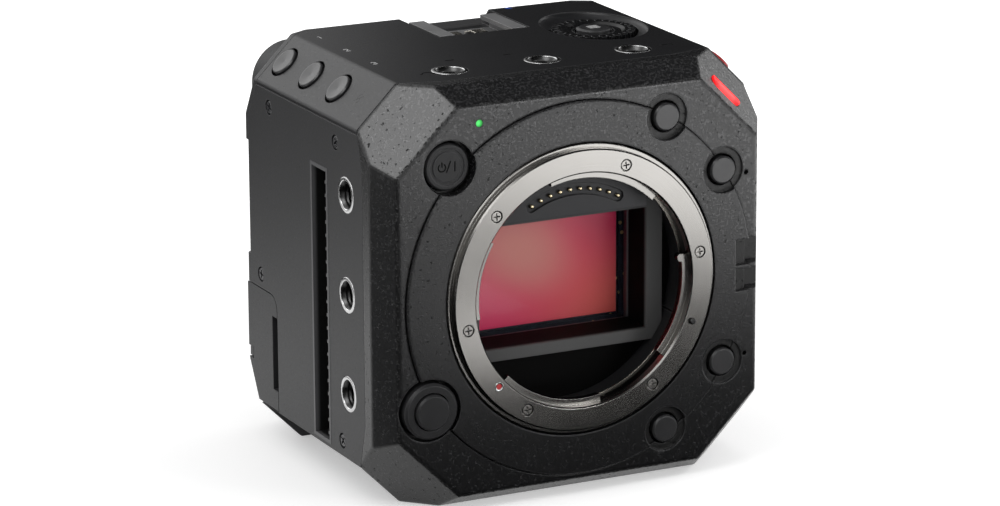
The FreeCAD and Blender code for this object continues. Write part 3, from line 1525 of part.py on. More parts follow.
post_front = bezel_wall_rear + d.chassis_room
plate_rear = post_front + d.chassis_plate
inset = d.side_wall + d.chassis_gap
chassis_plate = padded("chassis_plate_pad", case_outline(inset, hollow_cut + d.chassis_gap),
                       "XZ_Plane", post_front, plate_rear)
posts = []
for side, way in (("left", -1), ("right", 1)):
    x = way * (d.half_width - d.post_side)
    for level, z, high in (
        ("upper", d.top_rise - d.upper_post_drop, d.upper_post_height),
        ("lower", d.lower_post_drop - d.bottom_drop, d.lower_post_height),
    ):
        posts.append(slab_at(f"{level}_{side}_post", x, z, d.post_width / 2, high / 2, plate_rear,
                             cover_rear - d.post_end_gap))
chassis_tools = [
    rod("chassis_hole", barrel_outer + d.barrel_fit, plate_rear + 1, 0, 0, 0),
    rod("release_stem_hole", d.stem_radius + d.front_button_gap, plate_rear + 1, d.release_x, 0,
        d.release_z),
]
keep(cut("chassis_cut", fuse("chassis_solid", [chassis_plate] + posts), chassis_tools),
     "chassis")

# Finned heat sink with a round room for the fan, the fan and the plate that closes the fins

sink_plate_rear = d.sink_front + d.sink_plate
sink_low = d.vent_low + d.sink_low_gap
sink_half = d.half_width - d.sink_side_gap
sink_plate = box("sink_plate", (-sink_half, sink_half), (d.sink_front, sink_plate_rear),
                 (sink_low, d.vent_high))
fins = []
for number in range(sizes["vent_rib_count"]):
    z = sink_low + d.fin_start + number * d.vent_pitch
    fins.append(box(f"fin_{number + 1}", (-sink_half, sink_half),
                    (sink_plate_rear, d.sink_rear), (z, z + d.fin_thick)))
fan_z = (sink_low + d.vent_high) / 2
fan_depth = d.sink_rear - sink_plate_rear
fan_room = rod("fan_room", d.fan_radius + d.fan_gap, fan_depth + 1, 0, sink_plate_rear, fan_z)
fin_rows = cut("fin_rows", fuse("fin_set", fins), [fan_room])
shaft_rear = d.sink_rear - d.fan_shaft_drop
fan_shaft = rod("fan_shaft", d.fan_shaft_radius, shaft_rear - sink_plate_rear, 0,
                sink_plate_rear, fan_z)
keep(fuse("heat_sink_solid", [sink_plate, fin_rows, fan_shaft]), "heat_sink")
duct_rear = d.sink_rear + d.duct_thick
duct_block = box("duct_block", (-sink_half, sink_half), (d.sink_rear + d.seat_gap, duct_rear),
                 (sink_low, d.vent_high))
hub_front = sink_plate_rear + d.fan_end_gap
hub_rear = d.sink_rear - d.fan_end_gap
hub = rod("fan_hub", d.fan_hub_radius, hub_rear - hub_front, 0, hub_front, fan_z)
blades = []
blade_step = 360 / sizes["fan_blade_count"]
for number in range(sizes["fan_blade_count"]):
    blade = doc.addObject("Part::Box", f"fan_blade_{number + 1}")
    bind(blade, "Length", d.fan_radius - d.fan_hub_radius + d.fan_blade_root)
    bind(blade, "Width", hub_rear - hub_front - d.fan_blade_inset * 2)
    bind(blade, "Height", d.fan_blade_thick)
    angle = number * blade_step
    blade.Placement = Placement(Vector(), Rotation(Vector(0, -1, 0),
                                                   angle + sizes["fan_blade_lean"]))
    x, z = on_circle(d.fan_hub_radius - d.fan_blade_root, angle)
    place(blade, x, hub_front + d.fan_blade_inset, fan_z + z)
    blades.append(blade)
blade_limit = rod("blade_limit", d.fan_radius, fan_depth, 0, sink_plate_rear, fan_z)
trimmed_blades = common("trimmed_blades", fuse("blade_set", blades), blade_limit)
hub_bore = rod("hub_bore", d.fan_shaft_radius + d.fan_running_gap,
               shaft_rear - hub_front + d.fan_end_gap, 0, hub_front - d.fan_blade_inset, fan_z)
keep(cut("fan_rotor_cut", fuse("fan_solid", [hub, trimmed_blades]), [hub_bore]), "fan_rotor")

# Fin cover with the four bosses that carry the main board

spacer_x = sink_half - d.spacer_edge * 2
spacer_spots = [(x, z) for x in (-spacer_x, spacer_x)
                for z in (sink_low + d.spacer_edge, d.vent_high - d.spacer_edge)]
spacers = [rod(f"spacer_{number}", d.spacer_radius, d.main_board_front - duct_rear, x, duct_rear, z)
           for number, (x, z) in enumerate(spacer_spots, start=1)]
keep(fuse("fin_cover_solid", [duct_block] + spacers), "fin_cover")
board_rear = d.main_board_front + d.main_board_thick
board_half = d.half_width - d.board_side_gap
main_plate = box("main_plate", (-board_half, board_half), (d.main_board_front, board_rear),
                 (d.board_base_gap - d.bottom_drop, d.top_rise - d.board_roof_gap))
processor = slab_at("processor", 0, d.processor_z, d.processor_size / 2, d.processor_size / 2,
                    board_rear, board_rear + d.processor_thick)
memory = [slab_at(f"memory_{word}", x, 0, d.memory_width / 2, d.memory_height / 2, board_rear,
                  board_rear + d.memory_thick)
          for word, x in (("left", -d.memory_x), ("right", d.memory_x))]
keep(fuse("main_board_solid", [main_plate, processor] + memory), "main_board")

# Rear panel with its sockets, battery plate and latch

panel_block = box("rear_panel_block", (-rear_half_width, rear_half_width),
                  (frame_rear, panel_rear), (rear_low, rear_top))
doc.recompute()
upright = [number for number, edge in enumerate(panel_block.Shape.Edges, start=1)
           if abs(edge.Vertexes[0].Y - edge.Vertexes[-1].Y) > 1]
rounded_panel = doc.addObject("Part::Fillet", "rounded_panel")
rounded_panel.Base = panel_block
rounded_panel.Edges = [(number, sizes["rear_corner"], sizes["rear_corner"])
                       for number in upright]
battery_low = d.battery_z - d.battery_height / 2
battery_high = d.battery_z + d.battery_height / 2
latch_x = network_x - d.latch_network_gap
battery_left = d.battery_left_gap - rear_half_width
battery_right = latch_x - d.battery_right_gap
battery_x = (battery_left + battery_right) / 2
battery_room = box("battery_room", (battery_left, battery_right),
                   (panel_rear - d.battery_recess, panel_rear + 1), (battery_low, battery_high))
latch_half = d.latch_width / 2
latch_slot = box("latch_slot", (latch_x - latch_half - d.latch_gap,
                                latch_x + latch_half + d.latch_gap),
                 (panel_rear - d.latch_depth - d.latch_gap, panel_rear + 1),
                 (d.latch_z - d.latch_gap,
                  d.latch_z + d.latch_length + d.latch_travel + d.latch_gap))
keep(cut("rear_panel_cut", rounded_panel,
         [battery_room, latch_slot] + rear_sockets + rear_head_seats), "rear_panel")
rail_depth = d.battery_recess - d.battery_fit
half_plate = (battery_right - battery_left) / 2 - d.battery_fit
rail_foot = half_plate - d.battery_rail
rail_lip = rail_foot - d.battery_sheet
plate_outline = [
    (-half_plate, 0), (half_plate, 0), (half_plate, rail_depth),
    (rail_lip, rail_depth), (rail_lip, d.battery_step),
    (rail_foot, d.battery_step), (rail_foot, d.battery_sheet),
    (-rail_foot, d.battery_sheet), (-rail_foot, d.battery_step),
    (-rail_lip, d.battery_step), (-rail_lip, rail_depth),
    (-half_plate, rail_depth),
]
keep(padded("battery_plate_pad",
            shifted(plate_outline, battery_x, panel_rear - d.battery_recess), "XY_Plane",
            battery_low + d.battery_fit, battery_high - d.battery_fit), "battery_plate")
terminal_front = panel_rear - d.battery_recess + d.battery_sheet
terminal_face = terminal_front + d.terminal_block_thick
terminal_low = battery_high - d.terminal_low
terminal_high = battery_high - d.terminal_high
terminal_block = box("terminal_block", (battery_x - d.terminal_half_width,
                                        battery_x + d.terminal_half_width),
                     (terminal_front, terminal_face), (terminal_low, terminal_high))
terminals = []
for number in range(4):
    x = battery_x + (number - 1.5) * d.terminal_pitch
    terminals.append(box(f"terminal_{number + 1}",
                         (x - d.terminal_width / 2, x + d.terminal_width / 2),
                         (terminal_face, terminal_face + d.terminal_thick),
                         (terminal_low + d.terminal_end, terminal_high - d.terminal_end)))
keep(fuse("terminal_set", [terminal_block] + terminals), "battery_terminals")
latch_face = panel_rear + d.latch_proud
latch_body = box("latch_body", (latch_x - latch_half, latch_x + latch_half),
                 (panel_rear - d.latch_depth, latch_face), (d.latch_z, d.latch_z + d.latch_length))
grip_half = latch_half - d.latch_grip_inset
latch_grips = []
for number in range(4):
    z = d.latch_z + d.latch_grip_start + number * d.latch_grip_pitch
    latch_grips.append(box(f"latch_grip_{number + 1}", (latch_x - grip_half, latch_x + grip_half),
                           (latch_face, latch_face + d.latch_grip_height),
                           (z, z + d.latch_grip_width)))
keep(fuse("latch_solid", [latch_body] + latch_grips), "battery_latch")

network_floor = panel_rear - d.network_depth + d.network_floor
network_room = slab_at("network_room", network_x, network_z, d.network_opening_width / 2,
                       d.network_opening_height / 2, network_floor, panel_rear + 1)
key_low = network_z + d.network_opening_height / 2
network_key = box("network_key",
                  (network_x - d.network_key_width / 2, network_x + d.network_key_width / 2),
                  (network_floor, panel_rear + 1),
                  (key_low - d.sunk, key_low + d.network_key_height))
keep(cut("network_socket_cut", network_block, [network_room, network_key]), "network_socket")
room_front = panel_rear - d.socket_room
tongue_rear = panel_rear - d.tongue_recess
flat_sockets = []
for shell, (name, x, wide, high, wall, side, thick) in zip(wide_blocks, (
    ("display", d.display_x, d.display_width, d.display_height, d.display_wall,
     d.display_tongue_side, d.display_tongue_thick),
    ("data", d.data_x, d.data_width, d.data_height, d.data_wall,
     d.data_tongue_side, d.data_tongue_thick),
)):
    room = slab_at(f"{name}_room", x, socket_z, wide / 2 - wall, high / 2 - wall, room_front,
                   panel_rear + 1)
    tongue = slab_at(f"{name}_tongue", x, socket_z, wide / 2 - side, thick / 2,
                     socket_front + d.tongue_recess, tongue_rear)
    flat_sockets.append(fuse(f"{name}_socket", [cut(f"{name}_shell", shell, [room]), tongue]))
keep(group("flat_socket_set", flat_sockets), "flat_sockets")
inlet_room = rod("inlet_room", d.inlet_radius - d.inlet_wall, d.socket_depth, d.inlet_x,
                 room_front, socket_z)
inlet_pin = rod("inlet_pin", d.inlet_pin_radius, tongue_rear - socket_front, d.inlet_x,
                socket_front, socket_z)
keep(fuse("power_inlet_solid", [cut("inlet_shell", power_block, [inlet_room]), inlet_pin]),
     "power_inlet")
audio_sockets = []
for number, block in enumerate(audio_blocks):
    bore = rod(f"audio_bore_{number}", d.audio_bore, d.socket_depth, audio_x, room_front,
               socket_z - number * d.audio_pitch)
    audio_sockets.append(cut(f"audio_socket_{number + 1}", block, [bore]))
keep(group("audio_socket_set", audio_sockets), "audio_sockets")
coax_shells = []
coax_barrel = d.coax_radius - d.coax_lip
for number, z in enumerate(coax_levels, start=1):
    coax_shells.append(turned(f"coax_shell_{number}", [
        (d.coax_hole, d.coax_length), (coax_barrel, d.coax_length),
        (coax_barrel, d.coax_collar), (d.coax_radius, d.coax_collar),
        (d.coax_radius, -d.coax_depth), (d.coax_hole, -d.coax_depth),
    ], coax_x, panel_rear, z, "rear"))
    coax_shells.append(turned(f"coax_core_{number}", [
        (0, -d.coax_depth), (d.coax_hole, -d.coax_depth), (d.coax_hole, 0),
        (d.coax_core_radius, 0), (d.coax_core_radius, d.coax_core_length),
        (d.coax_pin_radius, d.coax_core_length), (d.coax_pin_radius, d.coax_pin_length),
        (0, d.coax_pin_length),
    ], coax_x, panel_rear, z, "rear"))
keep(group("coax_set", coax_shells), "video_sockets")

# Check every object and every sub-part, then write the files

doc.recompute()
broken = [thing.Name for thing in doc.Objects
          if "Invalid" in thing.State or "Error" in thing.State]
if broken:
    raise RuntimeError(f"these objects failed: {broken}")
os.makedirs("parts", exist_ok=True)
for node, thing in kept.items():
    shape = thing.Shape
    if shape.isNull() or not shape.isValid() or not shape.Solids:
        raise RuntimeError(f"{node} has no sound solid")
    shape.exportStep(f"parts/{node}.step")
print(f"{len(kept)} sub-parts written")
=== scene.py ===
import math
import bmesh
import bpy
from mathutils import Matrix, Vector


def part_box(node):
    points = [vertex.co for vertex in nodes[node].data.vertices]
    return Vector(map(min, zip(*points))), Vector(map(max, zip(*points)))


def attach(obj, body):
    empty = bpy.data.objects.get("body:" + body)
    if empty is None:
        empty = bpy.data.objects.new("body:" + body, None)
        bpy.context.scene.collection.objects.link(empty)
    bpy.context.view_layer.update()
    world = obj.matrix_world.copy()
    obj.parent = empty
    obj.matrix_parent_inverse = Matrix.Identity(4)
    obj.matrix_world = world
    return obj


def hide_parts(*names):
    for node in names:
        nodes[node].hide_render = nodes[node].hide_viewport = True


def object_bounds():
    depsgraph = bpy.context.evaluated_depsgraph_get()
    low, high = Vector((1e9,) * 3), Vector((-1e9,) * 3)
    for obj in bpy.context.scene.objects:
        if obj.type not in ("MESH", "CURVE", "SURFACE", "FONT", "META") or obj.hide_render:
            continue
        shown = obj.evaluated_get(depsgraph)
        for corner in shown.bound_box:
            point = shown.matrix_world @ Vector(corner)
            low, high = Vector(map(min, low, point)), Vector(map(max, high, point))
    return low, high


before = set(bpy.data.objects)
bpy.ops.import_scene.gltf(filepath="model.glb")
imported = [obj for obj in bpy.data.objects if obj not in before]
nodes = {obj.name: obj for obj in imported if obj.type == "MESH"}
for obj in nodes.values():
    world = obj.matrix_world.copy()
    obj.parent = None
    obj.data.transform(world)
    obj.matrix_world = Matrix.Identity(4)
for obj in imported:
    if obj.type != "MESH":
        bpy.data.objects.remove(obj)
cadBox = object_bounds()
mm = 0.001
print("frame loaded:", len(nodes), "nodes")


class Wire:  # an output socket that takes part in sums
    def __init__(self, sheet, socket):
        self.sheet = sheet
        self.socket = socket

    def join(self, operation, first, second):
        return self.sheet.add("ShaderNodeMath", {"operation": operation}, {0: first, 1: second})

    def __add__(self, other):
        return self.join("ADD", self, other)

    def __radd__(self, other):
        return self.join("ADD", other, self)

    def __sub__(self, other):
        return self.join("SUBTRACT", self, other)

    def __rsub__(self, other):
        return self.join("SUBTRACT", other, self)

    def __mul__(self, other):
        return self.join("MULTIPLY", self, other)

    def __rmul__(self, other):
        return self.join("MULTIPLY", other, self)

    def __pow__(self, other):
        return self.join("POWER", self, other)

    def __rpow__(self, other):
        return self.join("POWER", other, self)

    def __lt__(self, other):
        return self.join("LESS_THAN", self, other)

    def __gt__(self, other):  # what 0.5 < wire calls
        return self.join("GREATER_THAN", self, other)


class Sheet:  # a node tree that is filled through one method
    def __init__(self, tree):
        self.tree = tree

    def add(self, kind, settings=None, inputs=None, output=0):
        node = self.tree.nodes.new(kind)
        for key, value in (settings or {}).items():
            if key == "stops":
                ramp = node.color_ramp
                while len(ramp.elements) < len(value):
                    ramp.elements.new(1.0)
                for element, (spot, colour) in zip(ramp.elements, value):
                    element.position = spot
                    element.color = (*colour, 1.0)
            else:
                setattr(node, key, value)
        for key, value in (inputs or {}).items():
            for part in value if isinstance(value, list) else [value]:
                if isinstance(part, Wire):
                    self.tree.links.new(part.socket, node.inputs[key])
                else:
                    node.inputs[key].default_value = part
        return Wire(self, node.outputs[output]) if len(node.outputs) else None

    def shown(self):  # 1 for the rays that show what lies behind: seen straight, mirrored or through glass
        seen = self.add("ShaderNodeLightPath").socket.node.outputs
        return (Wire(self, seen["Is Camera Ray"]) + Wire(self, seen["Is Glossy Ray"])
                + Wire(self, seen["Is Transmission Ray"]))


class Finish(Sheet):  # a material
    def __init__(self, name):
        self.material = bpy.data.materials.new(name)
        self.material.use_nodes = True
        super().__init__(self.material.node_tree)
        self.tree.nodes.clear()
        self.place = self.add("ShaderNodeTexCoord", output="Object")

    def noise(self, size, detail=2.0, roughness=0.5, place=None):
        return self.add("ShaderNodeTexNoise", inputs={
            "Vector": place or self.place, "Scale": 1 / size, "Detail": detail, "Roughness": roughness})

    def cells(self, size, feature="F1"):
        return self.add("ShaderNodeTexVoronoi", {"feature": feature}, {
            "Vector": self.place, "Scale": 1 / size}, "Distance")

    def step(self, value, low, high):  # 0 below low, 1 above high, smooth between
        return self.add("ShaderNodeMapRange", {"interpolation_type": "SMOOTHSTEP"}, {
            0: value, 1: low, 2: high, 3: 0.0, 4: 1.0})

    def blend(self, factor, first, second):
        first, second = ((*c, 1.0) if isinstance(c, tuple) else c for c in (first, second))
        return self.add("ShaderNodeMix", {"data_type": "RGBA"}, {0: factor, 6: first, 7: second}, 2)

    def axes(self, place=None):
        split = self.add("ShaderNodeSeparateXYZ", inputs={0: place or self.place})
        return [Wire(self, split.socket.node.outputs[k]) for k in range(3)]

    def bump(self, height, distance, edge=None):  # edge is the radius that rounds the corners
        base = {"Height": height, "Distance": distance, "Strength": 1.0}
        if edge:
            base["Normal"] = self.add("ShaderNodeBevel", {"samples": 4}, {"Radius": edge})
        return self.add("ShaderNodeBump", inputs=base)

    def edges(self, radius, low=0.90, high=0.995):  # 1 along the outer and inner corners
        near = self.add("ShaderNodeBevel", {"samples": 8}, {"Radius": radius})
        flat = self.add("ShaderNodeNewGeometry", output="Normal")
        same = self.add("ShaderNodeVectorMath", {"operation": "DOT_PRODUCT"}, {0: near, 1: flat}, 1)
        return 1 - self.step(same, low, high)

    def surface(self, values):
        for key, value in values.items():
            if isinstance(value, tuple) and len(value) == 3:
                values[key] = (*value, 1.0)
        self.finishWith(self.add("ShaderNodeBsdfPrincipled", inputs=values))

    def finishWith(self, shader):
        self.add("ShaderNodeOutputMaterial", inputs={"Surface": shader})


# finishes


def tone(colour, share, rise=0.0):  # the same colour, darker or lighter
    return tuple(min(1.0, share * c + rise) for c in colour)


def paint(name, look):
    f = Finish(name)
    lumps = f.noise(look["lump"], 2.5, 0.6)
    x, y, z = f.axes()
    ahead = f.axes(f.add("ShaderNodeNewGeometry", output="Normal"))[1]  # -1 where a face looks forward
    # painted shade: faces that slant off the front, the bevels, get more dark pits
    shadedBevels = f.step(ahead, *look["bevelStart"]) * (1 - f.step(ahead, *look["bevelEnd"]))
    # painted highlight: toward the upper right there are more light specks and fewer dark pits, partly the paint's
    # texture and partly painted light
    litUpRight = f.step(x * look["litUpRightSlope"] + z, *look["litUpRight"])
    pits = f.step(lumps - shadedBevels * look["bevelShadePits"] + litUpRight * look["fewerPitsWhereLit"],
                  look["pitLow"], look["pitHigh"])  # 0 in a pit
    fine = f.noise(look["grain"], 2.0)
    drift = f.noise(look["drift"], 2.0)
    crumbs = f.noise(look["crumb"], 1.5, 0.5, f.add("ShaderNodeMapping", inputs={
        "Vector": f.place, "Location": look["crumbShift"]}))
    specks = f.step(crumbs + litUpRight * look["speckHighlightDrift"], look["crumbLow"],
                    look["crumbLow"] + look["crumbSpan"])
    # edges lighter in colour: wear, and a painted highlight along outer and inner corners
    edgeWearAndHighlight = f.edges(look["edge"]) * look["wearAndHighlight"]
    colour = f.blend(drift, tone(look["colour"], 0.85), tone(look["colour"], 1.15))
    # painted shade: the pits, which the bump sinks, are also darkened in colour
    colour = f.blend(pits * look["pitMix"] + (1 - look["pitMix"]), look["pitShadeColour"], colour)
    # painted glint: the raised specks are also lighter in colour
    colour = f.blend(specks * look["speckMix"], colour, look["speckGlintColour"])
    colour = f.blend(edgeWearAndHighlight, colour, look["wearAndHighlightColour"])
    seatShade = f.step(y, *look["seatDepth"]) * (1 - f.step(ahead, *look["seatFloor"])) * look["seatShadeMix"]
    colour = f.blend(seatShade, colour, look["pitShadeColour"])  # painted shade: the recessed seats round the front buttons are darkened
    rough = look["rough"] + (fine - 0.5) * 0.14 - specks * 0.08 + (1 - pits) * look["pitRough"] + seatShade * 0.2
    height = pits + fine * look["fineShare"] + specks * look["speckRise"]
    f.surface({"Base Color": colour, "Roughness": rough, "Specular IOR Level": look["shine"],
               "Normal": f.bump(height, look["relief"], look["edge"])})
    return f.material


bezelLook = {"colour": (0.006, 0.006, 0.0065), "pitShadeColour": (0.001, 0.001, 0.001), "pitMix": 0.95,
             "speckGlintColour": (0.05, 0.05, 0.052), "wearAndHighlightColour": (0.05, 0.05, 0.052), "wearAndHighlight": 0.5,
             "lump": 0.8 * mm, "pitLow": 0.31, "pitHigh": 0.37, "pitRough": 0.5, "bevelShadePits": 0.14,
             "bevelStart": (-0.95, -0.85), "bevelEnd": (-0.66, -0.60), "grain": 0.22 * mm, "drift": 22 * mm,
             "crumb": 0.5 * mm, "crumbLow": 0.62, "crumbSpan": 0.07, "crumbShift": (0.31, 0.17, 0.53),
             "speckMix": 0.5, "speckRise": 0.25, "speckHighlightDrift": 0.09, "fewerPitsWhereLit": 0.02,
             "litUpRightSlope": 0.5, "litUpRight": (-25 * mm, 35 * mm), "seatShadeMix": 0.9,
             "seatDepth": (2.45 * mm, 2.55 * mm), "seatFloor": (-0.99, -0.97),
             "rough": 0.32, "shine": 0.5, "fineShare": 0.35, "relief": 0.035 * mm, "edge": 0.5 * mm}
coverLook = dict(bezelLook, colour=(0.020, 0.020, 0.0212), pitShadeColour=(0.015, 0.015, 0.016), lump=0.62 * mm,
                 speckMix=0.05, seatShadeMix=0.0, bevelShadePits=0.0, pitRough=0.15, speckHighlightDrift=0.0,
                 pitLow=0.22, pitHigh=0.42, fineShare=0.6, relief=0.015 * mm, rough=0.47, speckRise=0.1,
                 edge=0.22 * mm, wearAndHighlight=0.8, wearAndHighlightColour=(0.075, 0.075, 0.077), shine=0.38)
topLook = dict(coverLook, colour=(0.011, 0.011, 0.012), pitShadeColour=(0.007, 0.007, 0.008), rough=0.36, shine=0.25)
rearLook = dict(coverLook, colour=(0.018, 0.018, 0.019), grain=0.18 * mm, relief=0.03 * mm, rough=0.55)
bezelPaint = paint("bezelPaint", bezelLook)
coverPaint = paint("coverPaint", coverLook)
topPaint = paint("topPaint", topLook)
rearPlastic = paint("rearPlastic", rearLook)


def plastic(name, colour, rough=0.42, grain=0.2 * mm, relief=0.012 * mm, edge=0.25 * mm, shine=0.3, wearAndHighlight=0.0):
    f = Finish(name)
    fine = f.noise(grain, 2.0)
    drift = f.noise(4 * mm, 3.0)
    tint = f.blend(drift, tone(colour, 0.8), tone(colour, 1.2))
    if wearAndHighlight:
        # edges lighter in colour: wear, and a painted highlight along outer and inner corners
        tint = f.blend(f.edges(edge) * wearAndHighlight, tint, tone(colour, 4, 0.02))
    f.surface({"Base Color": tint, "Roughness": rough + (drift - 0.5) * 0.14,
               "Specular IOR Level": shine, "Normal": f.bump(fine, relief, edge)})
    return f.material


trimBlack = plastic("trimBlack", (0.010, 0.010, 0.011), 0.5, wearAndHighlight=0.3)


def trimFinish(look):
    f = Finish("trimGrey")
    x, y, z = f.axes()
    aside = f.add("ShaderNodeMath", {"operation": "ABSOLUTE"}, {0: x})
    outsideShade = f.step(aside, look["rim"] - look["depth"], look["rim"])
    f.surface({"Base Color": f.blend(outsideShade, look["inner"], look["outer"]), "Roughness": look["rough"],
               "Specular IOR Level": look["shine"],
               "Normal": f.bump(f.noise(look["grain"], 2.0), look["relief"], look["edge"])})
    return f.material


# painted shade: the vent slots are darkened inside; they are grey along their outer rim and on the tips of their
# ribs
trimLook = {"rim": 46.15 * mm, "depth": 1.0 * mm, "inner": (0.006, 0.006, 0.006), "outer": (0.085, 0.085, 0.088),
            "rough": 0.42, "shine": 0.35, "grain": 0.2 * mm, "relief": 0.006 * mm, "edge": 0.1 * mm}
trimGrey = trimFinish(trimLook)
buttonBlack = plastic("buttonBlack", (0.020, 0.020, 0.021), 0.34, 0.16 * mm, 0.010 * mm, 0.3 * mm, 0.55, 0.5)
collarBlack = plastic("collarBlack", (0.016, 0.016, 0.017), 0.45, 0.16 * mm, 0.010 * mm, 0.3 * mm, wearAndHighlight=0.5)
buttonRed = plastic("buttonRed", (0.30, 0.008, 0.010), 0.35, wearAndHighlight=0.1)
contactPlastic = plastic("contactPlastic", (0.020, 0.020, 0.022), 0.42, 0.3 * mm, 0.01 * mm)
socketPlastic = plastic("socketPlastic", (0.018, 0.018, 0.018), 0.5, wearAndHighlight=0.3)
fanPlastic = plastic("fanPlastic", (0.016, 0.016, 0.018), 0.45)
anodised = plastic("anodised", (0.006, 0.006, 0.0065), 0.24, 0.12 * mm, 0.006 * mm, 0.2 * mm, 0.35, 0.8)
screwBlack = plastic("screwBlack", (0.022, 0.022, 0.024), 0.33, 0.3 * mm, 0.006 * mm, 0.15 * mm, 0.6, 0.8)


def steel(name, colour, rough, groove=0.0, edge=0.2 * mm, relief=0.004 * mm, wearAndHighlight=0.3, throatShade=None):
    f = Finish(name)
    x, y, z = f.axes()
    if groove:  # turned: fine grooves round the lens axis
        lay = f.add("ShaderNodeCombineXYZ", inputs={0: (x * x + z * z) ** 0.5, 1: y})
        lines = f.noise(groove, 3.0, 0.75, lay)
    else:  # rolled: long marks along y
        lay = f.add("ShaderNodeCombineXYZ", inputs={0: x, 1: y * 0.05, 2: z})
        lines = f.noise(0.25 * mm, 3.0, 0.7, lay)
    clouds = f.noise(5 * mm, 3.0)
    tint = f.blend(clouds, tone(colour, 0.9), colour)
    # edges lighter in colour: wear, and a painted highlight along outer and inner corners
    tint = f.blend(f.edges(edge) * wearAndHighlight, tint, tone(colour, 1.5, 0.05))
    if throatShade:  # painted shade: darkened inside the throat, from a little behind the front edge
        throatWallShade = 1 - f.step((x * x + z * z) ** 0.5, *throatShade["radius"])
        tint = f.blend(f.step(y, *throatShade["depth"]) * throatWallShade, tint, throatShade["colour"])
    f.surface({"Base Color": tint, "Metallic": 1.0,
               "Roughness": rough + (lines - 0.5) * 0.10 + (clouds - 0.5) * 0.06,
               "Normal": f.bump(lines, relief, edge)})
    return f.material


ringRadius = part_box("lens_mount_ring")[1].x
throatShadeLook = {"depth": (2.0 * mm, 2.15 * mm), "radius": (0.84 * ringRadius, 0.86 * ringRadius),
              "colour": (0.012, 0.012, 0.012)}
mountSteel = steel("mountSteel", (0.27, 0.262, 0.25), 0.24, 0.3 * mm, 0.16 * mm, 0.0008 * mm, 0.6, throatShadeLook)
insertSteel = steel("insertSteel", (0.62, 0.62, 0.62), 0.22, 0.0, 0.1 * mm)
# painted shade for the mouths and threads of the bushes
threadSteel = steel("threadSteel", (0.06, 0.06, 0.06), 0.35, 0.0, 0.1 * mm)
# the lock pin is darkened: a painted shade, so that it reads as a hole
pinSteel = steel("pinSteel", (0.06, 0.06, 0.06), 0.3, 0.0, 0.1 * mm)
screwSteel = steel("screwSteel", (0.34, 0.33, 0.315), 0.30, 0.0, 0.1 * mm)
springSteel = steel("springSteel", (0.66, 0.62, 0.55), 0.24, 0.0, 0.1 * mm)
shoeSteel = plastic("shoeSteel", (0.13, 0.13, 0.132), 0.4, 0.2 * mm, 0.004 * mm, 0.12 * mm, 0.5, 0.8)
socketSteel = steel("socketSteel", (0.55, 0.55, 0.54), 0.25, 0.0, 0.2 * mm)
contactGold = steel("contactGold", (0.68, 0.58, 0.38), 0.22, 0.0, 0.1 * mm)
castAlloy = steel("castAlloy", (0.16, 0.16, 0.17), 0.5, 0.0, 0.3 * mm, 0.02 * mm)
finAlloy = steel("finAlloy", (0.018, 0.018, 0.02), 0.5, 0.0, 0.1 * mm)


baffleLook = {"front": (10.5 * mm, 11.4 * mm), "window": (0.002, 0.002, 0.002), "face": (0.085, 0.085, 0.085),
              "grain": 0.2 * mm, "relief": 0.006 * mm, "edge": 0.2 * mm, "rough": 0.5, "shine": 0.06}


def baffleFinish(look):  # a grey front face round a black window
    f = Finish("baffleBlack")
    x, y, z = f.axes()
    front = 1 - f.step(y, *look["front"])
    f.surface({"Base Color": f.blend(front, look["window"], look["face"]), "Roughness": look["rough"] - front * 0.1,
               "Specular IOR Level": look["shine"],
               "Normal": f.bump(f.noise(look["grain"], 2.0), look["relief"], look["edge"])})
    return f.material


# painted reflection: colours of the sensor's lower and upper corners, left and right, and of a warm patch by its
# middle, which stand in for its coloured reflections
sensorReflectionLook = {"across": (-17 * mm, 19 * mm), "up": (-11 * mm, 12 * mm),
              "low": ((0.80, 0.022, 0.13), (0.78, 0.12, 0.10)),
              "high": ((0.72, 0.19, 0.19), (0.66, 0.008, 0.085)),
              "warmReflection": (0.70, 0.27, 0.225), "warmReflectionMix": 0.85, "warmPlace": (-5 * mm, 3 * mm),
              "warmStretch": (0.75, 0.95), "warmLean": 0.25, "warmReach": (1 * mm, 12.5 * mm)}


def sensorFinish(look):
    f = Finish("sensorSilicon")
    x, y, z = f.axes()
    across = f.step(x, *look["across"])
    up = f.step(z, *look["up"])
    # painted reflection: fixed colours that stand in for the sensor's coloured reflections
    colour = f.blend(up, f.blend(across, *look["low"]), f.blend(across, *look["high"]))
    (placeX, placeZ), (stretchX, stretchZ) = look["warmPlace"], look["warmStretch"]
    tilted = ((x - placeX) * stretchX) ** 2 + ((z - placeZ) * stretchZ + x * look["warmLean"]) ** 2
    warmReflection = 1 - f.step(tilted ** 0.5, *look["warmReach"])
    colour = f.blend(warmReflection * look["warmReflectionMix"], colour, look["warmReflection"])
    fineLines = f.noise(0.5 * mm, 2.0)
    f.surface({"Base Color": colour, "Metallic": 0.1, "Roughness": 0.36 + (fineLines - 0.5) * 0.06,
               "Coat Weight": 0.25, "Coat Roughness": 0.12})
    return f.material


def glassFinish():
    f = Finish("coatedGlass")
    facing = f.add("ShaderNodeLayerWeight", inputs={0: 0.35}, output="Facing")
    f.surface({"Base Color": (0.01, 0.012, 0.02), "Roughness": 0.03,
               "Alpha": facing * 0.3 + 0.03, "Specular IOR Level": 0.5})
    return f.material


